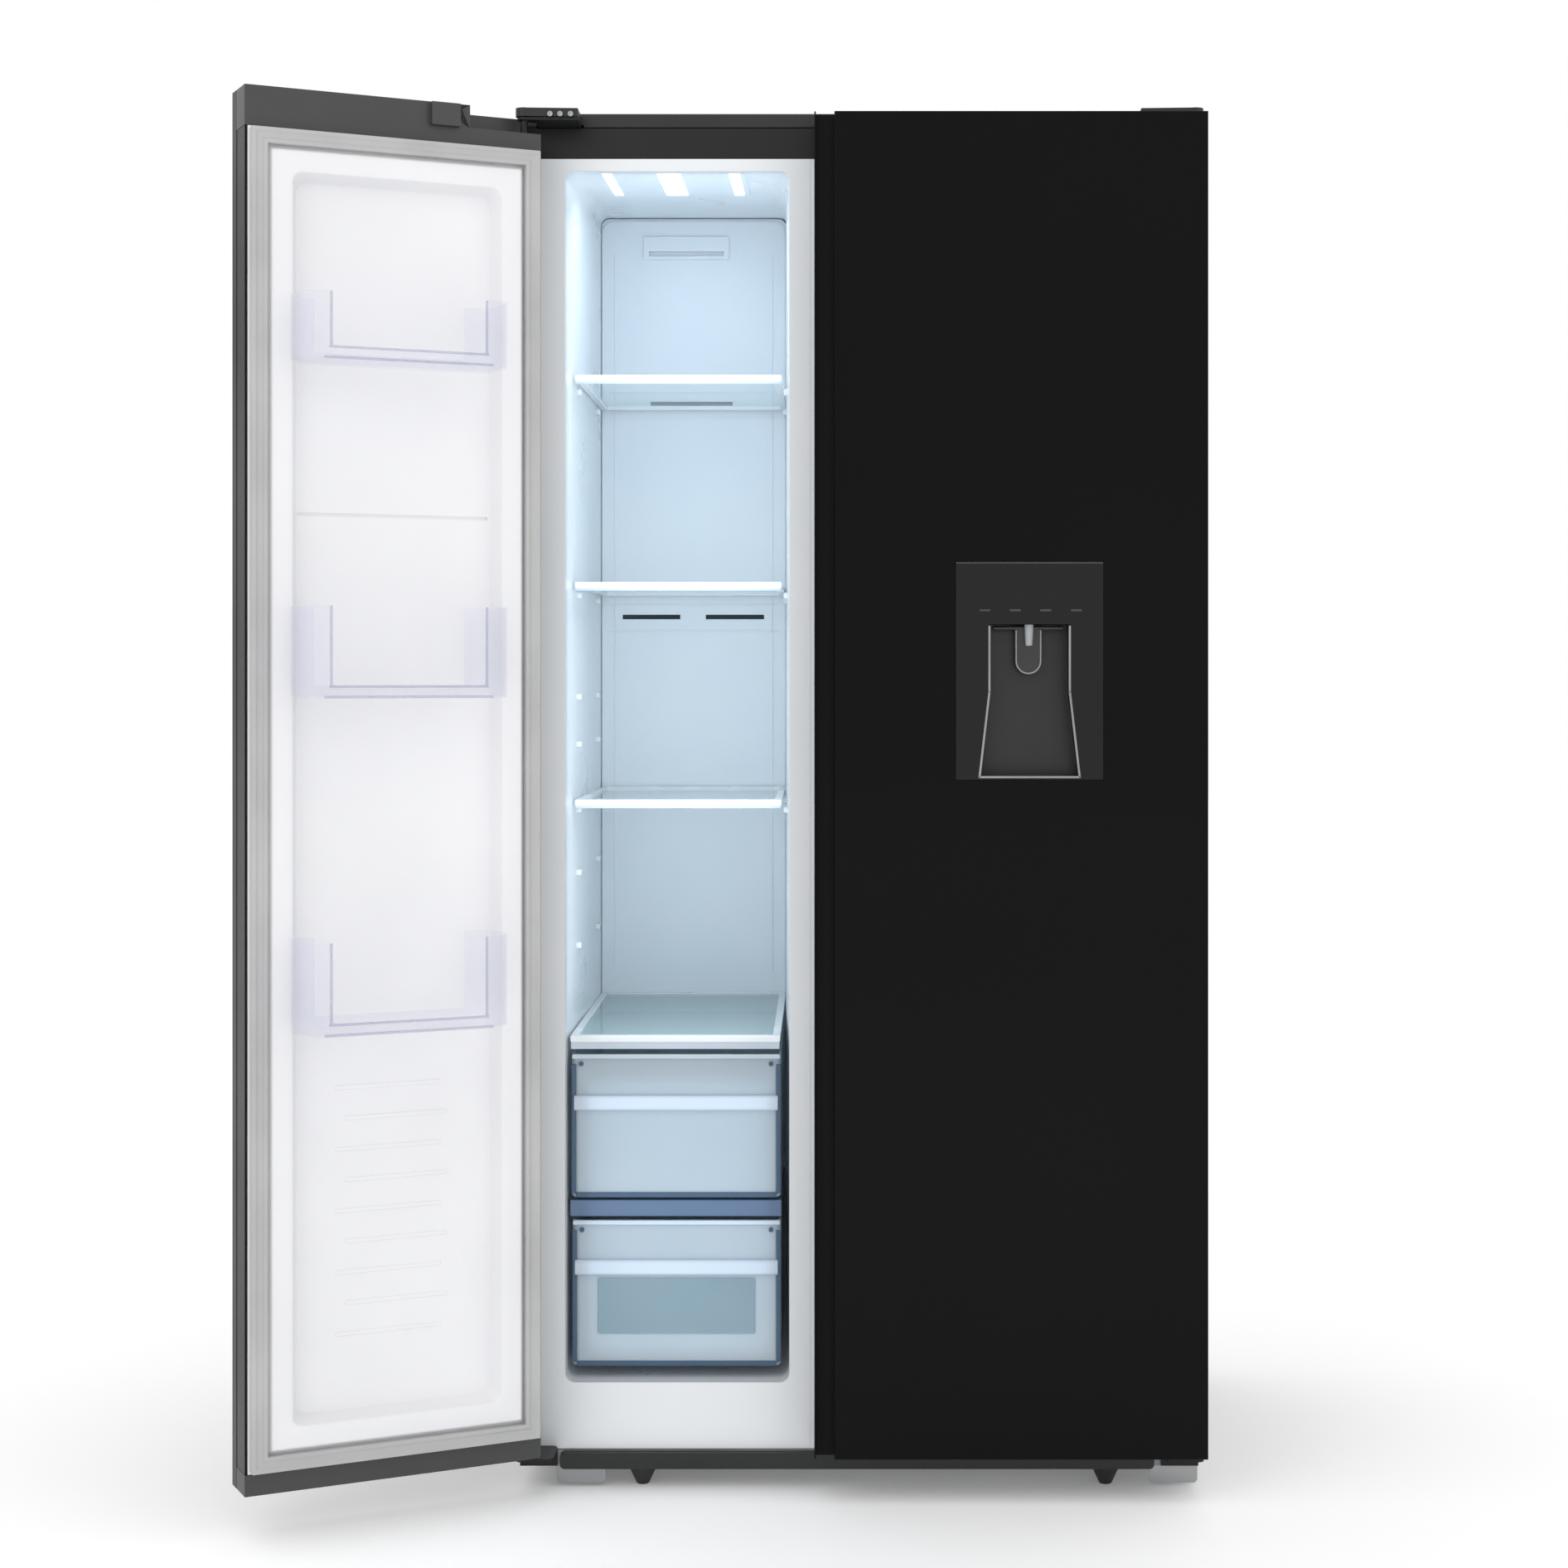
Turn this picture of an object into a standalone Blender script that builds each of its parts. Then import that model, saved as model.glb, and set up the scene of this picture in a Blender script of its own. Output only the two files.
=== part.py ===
"""Side by side refrigerator: a freezer on the left with its door open, a fridge on the right with its door
shut.

Cabinet coordinates: X to the right with 0 at the middle of the cabinet, Y backwards with 0 at the front
of the shut doors, Z up with 0 on the floor. Metres. At the end the whole assembly is moved sideways so that
the middle of its box stands on the world's origin.
"""
import math

import bmesh
import bpy
from mathutils import Vector

# ---- driving dimensions -------------------------------------------------------------------------
GAP = 0.0003                    # between pieces that touch
HALF_WIDTH = 0.4475
CABINET_FRONT = 0.078
CABINET_BACK = 0.690
CASE_BOTTOM = 0.050
CASE_TOP = 1.783
FLANGE_TOP = 1.743              # the case's front edge is folded down to here
COVER_TOP = 1.803
SHEET = 0.002                   # thickness of steel and liner sheets

DOOR_BOTTOM = 0.058
DOOR_TOP = 1.790
DOOR_FLANGE = 0.065             # the plane that the gasket sits on
PANEL_THICK = 0.006
DOOR_LINER = 0.0015
CAP_TOP_LOW, CAP_BOTTOM_HIGH = 1.7400, 0.0850       # where the mouldings at a door's ends begin
PIN_HOLE = 0.0062
RELIEF = ((0.0225, 0.0), (0.006, 0.009), (0.0235, 0.0), (0.011, -0.024))   # inset and rise of each step
FREEZER_EDGE = -0.0615          # meeting edges of the two doors
FRIDGE_EDGE = -0.0585
HINGE_INSET = 0.013             # from the cabinet's side
HINGE_DEPTH = 0.032             # behind the door's front
DOOR_OPEN_DEGREES = 154.0

FREEZER_LEFT, FREEZER_RIGHT = -0.386, -0.0915
FRIDGE_LEFT, FRIDGE_RIGHT = -0.035, 0.3775
ROOM_BOTTOM, ROOM_TOP, ROOM_TOP_BACK = 0.1373, 1.727, 1.755
ROOM_BACK = 0.640
STEP_BACK, STEP_TOP = 0.420, 0.345      # the tubs step forward over the machine room
MACHINE_FRONT, MACHINE_TOP = 0.462, 0.300

SHELF_FRONT = 0.168
SHELF_TRIM = 0.012
FREEZER_SHELVES = (1.4695, 1.191, 0.898)
DRAWER_SHELF = 0.589
DRAWER_FRONT = 0.100
FREEZER_BINS = ((1.448, 0.082), (1.037, 0.113), (0.628, 0.114))     # bottom, height
FRIDGE_SHELVES = (1.340, 0.900, 0.470)
FRIDGE_BINS = ((0.660, 0.113), (0.240, 0.113))
BIN_EDGE = 0.048                # from the meeting edge
BIN_BACK, BIN_FRONT = 0.0745, 0.160
BIN_WALL, BIN_CORNER, BIN_PILLAR, BIN_BAR = 0.0025, 0.030, 0.036, 0.016
DRAWER_WALL = 0.003
SHELF_RIM, SHELF_LIP = 0.012, 0.014     # the moulded frame beside and in front of a shelf's glass

DISPENSER_X = 0.218
DISPENSER_WIDE, DISPENSER_LOW, DISPENSER_HIGH = 0.190, 0.931, 1.211
RECESS_TOP, RECESS_WAIST, RECESS_BOTTOM = 1.131, 1.044, 0.9345
RECESS_HALF, RECESS_FOOT_HALF = 0.0516, 0.0643
PADDLE_PIVOT_PLACE = (DISPENSER_X, 0.0240, 1.1265)
PADDLE_HALF, PADDLE_DROP = 0.0175, 0.043

# ---- scene and helpers --------------------------------------------------------------------------
for old in list(bpy.data.objects):
    bpy.data.objects.remove(old, do_unlink=True)

parts = bpy.data.collections.new("side_by_side_refrigerator")
cutters = bpy.data.collections.new("cutters")
bpy.context.scene.collection.children.link(parts)
bpy.context.scene.collection.children.link(cutters)

HOME = {}                       # each empty's place in cabinet coordinates


def empty(name, place, parent=None, turn=0.0):
    """An empty at a place in cabinet coordinates, turned about Z by some degrees."""
    item = bpy.data.objects.new(name, None)
    parts.objects.link(item)
    item.parent = parent
    start = HOME[parent.name] if parent else Vector((0, 0, 0))
    item.location = Vector(place) - start
    item.rotation_euler = (0, 0, math.radians(turn))
    HOME[name] = Vector(place)
    return item


def finish(item, colour, roughness=0.5, metallic=0.0, alpha=1.0):
    """Give an object a Principled material of its own."""
    skin = bpy.data.materials.new(item.name)
    skin.use_nodes = True
    shader = skin.node_tree.nodes["Principled BSDF"]
    shader.inputs["Base Color"].default_value = (*colour, 1.0)
    shader.inputs["Roughness"].default_value = roughness
    shader.inputs["Metallic"].default_value = metallic
    shader.inputs["Alpha"].default_value = alpha
    item.data.materials.append(skin)
    return item


def place(name, mesh, centre, parent, as_cutter=False):
    """Put a mesh at a centre given in cabinet coordinates, carried by an empty."""
    item = bpy.data.objects.new(name, mesh)
    (cutters if as_cutter else parts).objects.link(item)
    item.parent = parent
    item.location = Vector(centre) - HOME[parent.name]
    if as_cutter:
        item.hide_render = True
        item.display_type = "WIRE"
    return item


def box(name, low, high, parent, radius=0.0, along=2, segments=3, back=None, as_cutter=False):
    """A box between two corners. Its edges along one axis may be rounded, and its back end may be another
    rectangle, (x low, x high, z low, z high), as a moulded tub has."""
    low, high = Vector(low), Vector(high)
    centre, size = (low + high) / 2, high - low
    shape = bmesh.new()
    bmesh.ops.create_cube(shape, size=1.0)
    bmesh.ops.scale(shape, vec=size, verts=shape.verts)
    if radius:
        edges = [e for e in shape.edges if abs((e.verts[0].co - e.verts[1].co)[along]) > size[along] / 2]
        bmesh.ops.bevel(shape, geom=edges, offset=radius, segments=segments, profile=0.5, affect="EDGES")
    if back:
        for vert in shape.verts:
            if vert.co.y > 0:
                across = (vert.co.x + size.x / 2) / size.x
                up = (vert.co.z + size.z / 2) / size.z
                vert.co.x = back[0] + across * (back[1] - back[0]) - centre.x
                vert.co.z = back[2] + up * (back[3] - back[2]) - centre.z
    mesh = bpy.data.meshes.new(name)
    shape.to_mesh(mesh)
    shape.free()
    return place(name, mesh, centre, parent, as_cutter)


def rod(name, centre, radius, length, axis, parent, top_radius=None, sides=24, as_cutter=False):
    """A cylinder or cone about X, Y or Z."""
    shape = bmesh.new()
    bmesh.ops.create_cone(shape, cap_ends=True, segments=sides, radius1=radius,
                          radius2=radius if top_radius is None else top_radius, depth=length)
    mesh = bpy.data.meshes.new(name)
    shape.to_mesh(mesh)
    shape.free()
    item = place(name, mesh, centre, parent, as_cutter)
    item.rotation_euler = {"X": (0, math.pi / 2, 0), "Y": (math.pi / 2, 0, 0), "Z": (0, 0, 0)}[axis]
    return item


def prism(name, outline, centre, thickness, parent, upright=False, as_cutter=False):
    """A flat outline with a thickness, made from a filled curve. It lies flat, or stands facing -Y."""
    curve = bpy.data.curves.new(name, "CURVE")
    curve.dimensions = "2D"
    curve.fill_mode = "BOTH"
    curve.extrude = thickness / 2
    line = curve.splines.new("POLY")
    line.points.add(len(outline) - 1)
    for point, (across, along) in zip(line.points, outline):
        point.co = (across, along, 0.0, 1.0)
    line.use_cyclic_u = True
    item = bpy.data.objects.new(name, curve)
    parts.objects.link(item)
    item.rotation_euler = (math.pi / 2, 0, 0) if upright else (0, 0, 0)
    bpy.context.view_layer.update()
    graph = bpy.context.evaluated_depsgraph_get()
    mesh = bpy.data.meshes.new_from_object(item.evaluated_get(graph))
    mesh.transform(item.matrix_world)
    bpy.data.objects.remove(item, do_unlink=True)
    shape = bmesh.new()
    shape.from_mesh(mesh)
    bmesh.ops.remove_doubles(shape, verts=shape.verts, dist=0.00001)
    bmesh.ops.recalc_face_normals(shape, faces=shape.faces)
    shape.to_mesh(mesh)
    shape.free()
    return place(name, mesh, centre, parent, as_cutter)


def boolean(item, tool, operation):
    """Join another shape to an object, or cut it away."""
    step = item.modifiers.new(tool.name, "BOOLEAN")
    step.operation = operation
    step.solver = "EXACT"
    step.object = tool
    return item


def cut(item, low, high, parent, **shape):
    tool = box(item.name + "_cut", low, high, parent, as_cutter=True, **shape)
    return boolean(item, tool, "DIFFERENCE")


def add(item, low, high, parent, **shape):
    tool = box(item.name + "_add", low, high, parent, as_cutter=True, **shape)
    return boolean(item, tool, "UNION")


def arc(centre, radius, start, end, steps):
    """Points on an arc, in degrees."""
    turns = [math.radians(start + (end - start) * step / steps) for step in range(steps + 1)]
    return [(centre[0] + radius * math.cos(a), centre[1] + radius * math.sin(a)) for a in turns]


WHITE = (0.84, 0.85, 0.86)
BLACK = (0.012, 0.012, 0.013)
DARK = (0.045, 0.046, 0.048)
STEEL = (0.55, 0.56, 0.57)

# ---- carriers -----------------------------------------------------------------------------------
cabinet = empty("cabinet", (0, 0, 0))
freezer_hinge = (-HALF_WIDTH + HINGE_INSET, HINGE_DEPTH, 0)
fridge_hinge = (HALF_WIDTH - HINGE_INSET, HINGE_DEPTH, 0)
freezer_door = empty("freezer_door", freezer_hinge, cabinet, -DOOR_OPEN_DEGREES)
fridge_door = empty("fridge_door", fridge_hinge, cabinet)


# ---- cabinet ------------------------------------------------------------------------------------
def tub_sizes(left, right):
    """The inner space of a compartment: its tall room, and the shallower one over the machine room."""
    upper = {
        "low": (left, CABINET_FRONT - 0.01, STEP_TOP),
        "high": (right, ROOM_BACK, ROOM_TOP),
        "back": (left + 0.004, right - 0.012, STEP_TOP, ROOM_TOP_BACK),
    }
    lower = {
        "low": (left + 0.001, CABINET_FRONT - 0.01, ROOM_BOTTOM),
        "high": (right - 0.001, STEP_BACK, STEP_TOP + 0.030),
        "back": (left + 0.0035, right - 0.0085, ROOM_BOTTOM, STEP_TOP + 0.030),
    }
    return upper, lower


def grown(size, amount, front):
    """The same tapered space made larger all round, beginning at another front plane."""
    low, high, back = size["low"], size["high"], size["back"]
    mouth = (low[0], high[0], low[2], high[2])

    def outline(depth):
        ratio = (depth - low[1]) / (high[1] - low[1])
        edges = [a + ratio * (b - a) for a, b in zip(mouth, back)]
        return edges[0] - amount, edges[1] + amount, edges[2] - amount, edges[3] + amount

    start, end = outline(front), outline(high[1] + amount)
    return {
        "low": (start[0], front, start[2]),
        "high": (start[1], high[1] + amount, start[3]),
        "back": end,
    }


def side_wall(left, right, back_ratio, side):
    """Where a compartment's side wall is, part of the way back."""
    return left + 0.004 * back_ratio if side < 0 else right - 0.012 * back_ratio


def liner(name, left, right, flange_left, flange_right, shelf_tops):
    """A moulded tub with its front flange, and the pegs that its shelves rest on."""
    front = CABINET_FRONT
    item = box(name, (flange_left, front, CASE_BOTTOM + 0.0008),
               (flange_right, front + SHEET, FLANGE_TOP - GAP), cabinet)
    for size in tub_sizes(left, right):
        add(item, **grown(size, SHEET, front + SHEET / 2), parent=cabinet, radius=0.016, along=1)
    for size in tub_sizes(left, right):
        cut(item, **size, parent=cabinet, radius=0.014, along=1)
    for top in shelf_tops:
        for depth in (0.240, 0.520):
            for side in (-1, 1):
                wall = side_wall(left, right, (depth - front) / (ROOM_BACK - front), side)
                reach = (wall - 0.001, wall + 0.007) if side < 0 else (wall - 0.007, wall + 0.001)
                add(item, (reach[0], depth - 0.008, top - SHELF_TRIM - 0.0083),
                    (reach[1], depth + 0.008, top - SHELF_TRIM - GAP), cabinet)
    return finish(item, WHITE, 0.35)


outer_case = box("outer_case", (-HALF_WIDTH, CABINET_FRONT, CASE_BOTTOM),
                 (HALF_WIDTH, CABINET_BACK, CASE_TOP), cabinet)
cut(outer_case, (-HALF_WIDTH + SHEET, CABINET_FRONT + SHEET, CASE_BOTTOM - 0.01),
    (HALF_WIDTH - SHEET, CABINET_BACK + 0.01, CASE_TOP - SHEET), cabinet)
cut(outer_case, (-HALF_WIDTH + 0.025, CABINET_FRONT - 0.01, CASE_BOTTOM - 0.02),
    (HALF_WIDTH - 0.025, CABINET_FRONT + 0.01, FLANGE_TOP), cabinet)
finish(outer_case, BLACK, 0.4)

liner("freezer_liner", FREEZER_LEFT, FREEZER_RIGHT, -HALF_WIDTH + 0.0253, -0.0640, FREEZER_SHELVES)
liner("fridge_liner", FRIDGE_LEFT, FRIDGE_RIGHT, -0.0637, HALF_WIDTH - 0.0253, FRIDGE_SHELVES)

foam = box("insulation_foam", (-HALF_WIDTH + SHEET + GAP, CABINET_FRONT + SHEET + GAP, CASE_BOTTOM + GAP),
           (HALF_WIDTH - SHEET - GAP, CABINET_BACK - 0.0103, CASE_TOP - SHEET - GAP), cabinet)
for left, right in ((FREEZER_LEFT, FREEZER_RIGHT), (FRIDGE_LEFT, FRIDGE_RIGHT)):
    for size in tub_sizes(left, right):
        cut(foam, **grown(size, SHEET + GAP, CABINET_FRONT - 0.02), parent=cabinet, radius=0.0163, along=1)
cut(foam, (-0.6, MACHINE_FRONT, 0.0), (0.6, 0.8, MACHINE_TOP), cabinet)
finish(foam, (0.80, 0.74, 0.52), 0.9)

back_panel = box("back_panel", (-HALF_WIDTH + 0.0025, CABINET_BACK - 0.010, CASE_BOTTOM + 0.0005),
                 (HALF_WIDTH - 0.0025, CABINET_BACK - 0.008, CASE_TOP - 0.0025), cabinet)
for row in range(6):
    height = 0.095 + 0.030 * row
    for left in (-0.38, -0.11, 0.16):
        cut(back_panel, (left, CABINET_BACK - 0.02, height), (left + 0.22, CABINET_BACK, height + 0.010),
            cabinet)
finish(back_panel, (0.32, 0.33, 0.34), 0.6, 0.3)

base_chassis = box("base_chassis", (-HALF_WIDTH + SHEET + GAP, CABINET_FRONT + 0.0003, 0.028),
                   (HALF_WIDTH - SHEET - GAP, CABINET_BACK - 0.002, CASE_BOTTOM), cabinet)
cut(base_chassis, (-HALF_WIDTH + 0.0045, CABINET_FRONT + 0.0025, 0.020),
    (HALF_WIDTH - 0.0045, CABINET_BACK - 0.0045, CASE_BOTTOM - 0.0025), cabinet)
finish(base_chassis, (0.30, 0.31, 0.32), 0.5, 0.6)

kick_plate = box("kick_plate", (-0.392, 0.0665, 0.0265), (0.386, CABINET_FRONT, 0.0480), cabinet,
                 radius=0.006, along=1)
finish(kick_plate, (0.03, 0.033, 0.034), 0.45)


# ---- hinges and the cover over them -------------------------------------------------------------
def hinge_outline(side, grow):
    """Outline of a top hinge about its pin. It swings clear of the door's front edge."""
    corner = 14 - grow * 1000
    line = arc((0, 0), 0.009 + grow, 90, 300, 10)
    line += [(0.070, -0.006), (0.070, 0.096), (corner / 1000, 0.096), (corner / 1000, 0.016)]
    return [(-side * x, y) for x, y in line]


top_cover = box("top_cover", (-HALF_WIDTH, CABINET_FRONT + 0.0015, CASE_TOP + GAP),
                (HALF_WIDTH, 0.137, COVER_TOP), cabinet, radius=0.004, along=0, segments=2)
for side, pin in ((-1, freezer_hinge), (1, fridge_hinge)):
    nose = prism("top_cover_add", [(x, min(y, 0.060)) for x, y in hinge_outline(side, 0.002)],
                 (pin[0], pin[1], 1.7934), 0.0110, cabinet, as_cutter=True)
    boolean(top_cover, nose, "UNION")
cut(top_cover, (-HALF_WIDTH + 0.0025, CABINET_FRONT + 0.004, CASE_TOP - 0.01),
    (HALF_WIDTH - 0.0025, 0.1345, COVER_TOP - 0.0025), cabinet)
for side, pin in ((-1, freezer_hinge), (1, fridge_hinge)):
    across = sorted((pin[0] - side * 0.011, pin[0] - side * 0.073))
    cut(top_cover, (across[0], 0.06, CASE_TOP - 0.01), (across[1], 0.09, 1.7877), cabinet)
finish(top_cover, DARK, 0.45)

for name, side, pin in (("freezer_top_hinge", -1, freezer_hinge), ("fridge_top_hinge", 1, fridge_hinge)):
    hinge = prism(name, hinge_outline(side, 0.0), (pin[0], pin[1], CASE_TOP + GAP + 0.002), 0.004, cabinet)
    boolean(hinge, rod(name + "_pin", (pin[0], pin[1], 1.7655), 0.005, 0.039, "Z", cabinet, as_cutter=True),
            "UNION")
    finish(hinge, STEEL, 0.3, 0.9)

for name, side, pin in (("freezer_lower_hinge", -1, freezer_hinge),
                        ("fridge_lower_hinge", 1, fridge_hinge)):
    across = sorted((side * (HALF_WIDTH - 0.0030), side * 0.3955))
    hinge = box(name, (across[0], 0.014, 0.0507), (across[1], 0.0775, 0.0547), cabinet, radius=0.008)
    add(hinge, (across[0], 0.0740, 0.0290), (across[1], 0.0772, 0.0520), cabinet)
    boolean(hinge, rod(name + "_pin", (pin[0], pin[1], 0.0665), 0.005, 0.027, "Z", cabinet, as_cutter=True),
            "UNION")
    finish(hinge, DARK, 0.4, 0.8)


# ---- doors --------------------------------------------------------------------------------------
def door_slab(edge, side, start, end, near, far, low, high):
    """Corners of a box on a door, measured from its meeting edge."""
    across = sorted((edge + side * start, edge + side * end))
    return (across[0], near, low), (across[1], far, high)


def inner_relief(name, edge, side, width, plane, thickness, carrier):
    """The inner face of a door: flat flange, low dyke all round, and a sunk middle. With a thickness it is
    the liner's sheet, without one it is the face of the foam core that lies under it."""
    low, high = door_slab(edge, side, 0.004, width - 0.004, 0, 0, CAP_BOTTOM_HIGH + 0.0005,
                          CAP_TOP_LOW - 0.0005)
    middle, size = (Vector(low) + Vector(high)) / 2, Vector(high) - Vector(low)
    shape = bmesh.new()
    bmesh.ops.create_grid(shape, x_segments=1, y_segments=1, size=0.5)
    bmesh.ops.scale(shape, vec=(size.x, size.z, 1), verts=shape.verts)
    face = shape.faces[:]
    for inset, rise in RELIEF:
        bmesh.ops.inset_region(shape, faces=face, thickness=inset, use_even_offset=True, use_boundary=True)
        bmesh.ops.translate(shape, vec=(0, 0, rise), verts=face[0].verts)
    for vert in shape.verts:
        vert.co = (vert.co.x, vert.co.z, vert.co.y)
    bmesh.ops.recalc_face_normals(shape, faces=shape.faces)
    if shape.faces[0].normal.y < 0:
        bmesh.ops.reverse_faces(shape, faces=shape.faces)
    if not thickness:
        rim = [e for e in shape.edges if e.is_boundary]
        walls = bmesh.ops.extrude_edge_only(shape, edges=rim)["geom"]
        moved = [g for g in walls if isinstance(g, bmesh.types.BMVert)]
        for vert in moved:
            vert.co.y = PANEL_THICK + GAP - plane
        front = [g for g in walls if isinstance(g, bmesh.types.BMEdge) and all(v in moved for v in g.verts)]
        bmesh.ops.contextual_create(shape, geom=front)
        bmesh.ops.recalc_face_normals(shape, faces=shape.faces)
    mesh = bpy.data.meshes.new(name)
    shape.to_mesh(mesh)
    shape.free()
    item = place(name, mesh, (middle.x, plane, middle.z), carrier)
    if thickness:
        sheet = item.modifiers.new("sheet", "SOLIDIFY")
        sheet.thickness = thickness
        sheet.offset = -1.0
    return item


def door(prefix, edge, side, width, carrier, pin):
    """The pieces that both doors share. side is the direction from the meeting edge to the hinge."""
    def slab(start, end, near, far, low, high):
        return door_slab(edge, side, start, end, near, far, low, high)

    notch = slab(width - 0.097, width + 0.010, 0.0078, 0.100, 1.761, 1.820)
    grip_room = slab(-0.010, 0.0363, -0.010, 0.0243, 0.0, 2.0)

    panel = box(prefix + "_panel", *slab(0.0257, width, 0.0, 0.0600, DOOR_BOTTOM, DOOR_TOP), carrier)
    cut(panel, *slab(0.0, width - 0.0015, PANEL_THICK, 0.070, 0.0, 2.0), carrier)
    cut(panel, *notch, carrier)
    finish(panel, BLACK, 0.08)

    foam_core = inner_relief(prefix + "_foam", edge, side, width, DOOR_FLANGE - 0.0037, 0.0, carrier)
    cut(foam_core, *grip_room, carrier)
    finish(foam_core, (0.80, 0.74, 0.52), 0.9)

    inner = inner_relief(prefix + "_liner", edge, side, width, DOOR_FLANGE, DOOR_LINER, carrier)
    finish(inner, WHITE, 0.35)

    gasket = box(prefix + "_gasket", *slab(0.0065, width - 0.0065, DOOR_FLANGE + GAP, CABINET_FRONT - GAP,
                                           0.0875, 1.7375), carrier)
    cut(gasket, *slab(0.0262, width - 0.0262, 0.0, 0.2, 0.1072, 1.7178), carrier)
    finish(gasket, (0.55, 0.55, 0.56), 0.7)

    cap = box(prefix + "_top_cap", *slab(0.0, width - 0.0018, PANEL_THICK + GAP, DOOR_FLANGE, CAP_TOP_LOW,
                                         DOOR_TOP), carrier)
    cut(cap, *grip_room, carrier)
    add(cap, *slab(width - 0.150, width - 0.112, 0.0550, 0.0735, 1.7600, DOOR_TOP - 0.001), carrier)
    cut(cap, *notch, carrier)
    hole = rod(cap.name + "_hole", (pin[0], pin[1], 1.7730), PIN_HOLE, 0.060, "Z", carrier, as_cutter=True)
    boolean(cap, hole, "DIFFERENCE")
    finish(cap, DARK, 0.5)

    foot = box(prefix + "_bottom_cap", *slab(0.0, width - 0.0018, PANEL_THICK + GAP, DOOR_FLANGE,
                                             DOOR_BOTTOM, CAP_BOTTOM_HIGH), carrier)
    cut(foot, *grip_room, carrier)
    hole = rod(foot.name + "_hole", (pin[0], pin[1], 0.0520), PIN_HOLE, 0.060, "Z", carrier, as_cutter=True)
    boolean(foot, hole, "DIFFERENCE")
    finish(foot, DARK, 0.5)

    outline = [(0, 0.003), (0.002, 0.003), (0.002, 0.022), (0.034, 0.022), (0.034, 0.0115),
               (0.0257, 0.0115), (0.0257, PANEL_THICK + 0.0008), (0.036, PANEL_THICK + 0.0008),
               (0.036, 0.024), (0, 0.024)]
    grip = prism(prefix + "_grip", [(edge + side * x, y) for x, y in outline],
                 (0, 0, (DOOR_BOTTOM + DOOR_TOP) / 2), DOOR_TOP - DOOR_BOTTOM, carrier)
    add(grip, *slab(0.0005, 0.0025, 0.0230, DOOR_FLANGE - 0.001, CAP_BOTTOM_HIGH + GAP, CAP_TOP_LOW - GAP),
        carrier)
    finish(grip, DARK, 0.35, 0.6)
    return panel, foam_core


def door_bin(name, edge, side, end, bottom, height, carrier):
    """A clear bin: tall corners, and a low bar between them at the front."""
    low, high = door_slab(edge, side, BIN_EDGE, end, BIN_BACK, BIN_FRONT, bottom, bottom + height)
    above = high[2] + 0.05
    item = box(name, low, high, carrier, radius=BIN_CORNER, segments=4)
    cut(item, tuple(v + BIN_WALL for v in low), (high[0] - BIN_WALL, high[1] - BIN_WALL, above),
        carrier, radius=BIN_CORNER - BIN_WALL, segments=4)
    cut(item, (low[0] + BIN_PILLAR, high[1] - 0.045, low[2] + BIN_BAR),
        (high[0] - BIN_PILLAR, high[1] + 0.02, above), carrier)
    return finish(item, (0.75, 0.78, 0.93), 0.1, 0.0, 0.45)


freezer_width = FREEZER_EDGE + HALF_WIDTH
fridge_width = HALF_WIDTH - FRIDGE_EDGE
door("freezer_door", FREEZER_EDGE, -1, freezer_width, freezer_door, freezer_hinge)
panel, core = door("fridge_door", FRIDGE_EDGE, 1, fridge_width, fridge_door, fridge_hinge)
for number, (bottom, height) in enumerate(FREEZER_BINS, 1):
    door_bin(f"freezer_bin_{number}", FREEZER_EDGE, -1, 0.314, bottom, height, freezer_door)
for number, (bottom, height) in enumerate(FRIDGE_BINS, 1):
    door_bin(f"fridge_bin_{number}", FRIDGE_EDGE, 1, fridge_width - 0.086, bottom, height, fridge_door)

# ---- water dispenser in the fridge door ---------------------------------------------------------
half = DISPENSER_WIDE / 2
for item in (panel, core):
    cut(item, (DISPENSER_X - half - GAP, -0.01, DISPENSER_LOW - GAP),
        (DISPENSER_X + half + GAP, 0.0445, DISPENSER_HIGH + GAP), fridge_door)

recess_middle = (RECESS_TOP + RECESS_BOTTOM) / 2
recess_line = [(-RECESS_FOOT_HALF, RECESS_BOTTOM), (RECESS_FOOT_HALF, RECESS_BOTTOM),
               (RECESS_HALF, RECESS_WAIST), (RECESS_HALF, RECESS_TOP),
               (-RECESS_HALF, RECESS_TOP), (-RECESS_HALF, RECESS_WAIST)]
recess_line = [(x, z - recess_middle) for x, z in recess_line]
bezel = box("dispenser_bezel", (DISPENSER_X - half, 0.0008, DISPENSER_LOW),
            (DISPENSER_X + half, 0.0048, DISPENSER_HIGH), fridge_door)
housing = box("dispenser_housing", (DISPENSER_X - half + 0.008, 0.0051, DISPENSER_LOW + 0.001),
              (DISPENSER_X + half - 0.008, 0.0442, DISPENSER_HIGH - 0.015), fridge_door)
for item, depth in ((bezel, 0.030), (housing, 0.0840)):
    opening = prism(item.name + "_opening", recess_line, (DISPENSER_X, -0.0015, recess_middle), depth,
                    fridge_door, upright=True, as_cutter=True)
    boolean(item, opening, "DIFFERENCE")
finish(bezel, (0.015, 0.015, 0.016), 0.12)
finish(housing, (0.035, 0.035, 0.037), 0.4)

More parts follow.
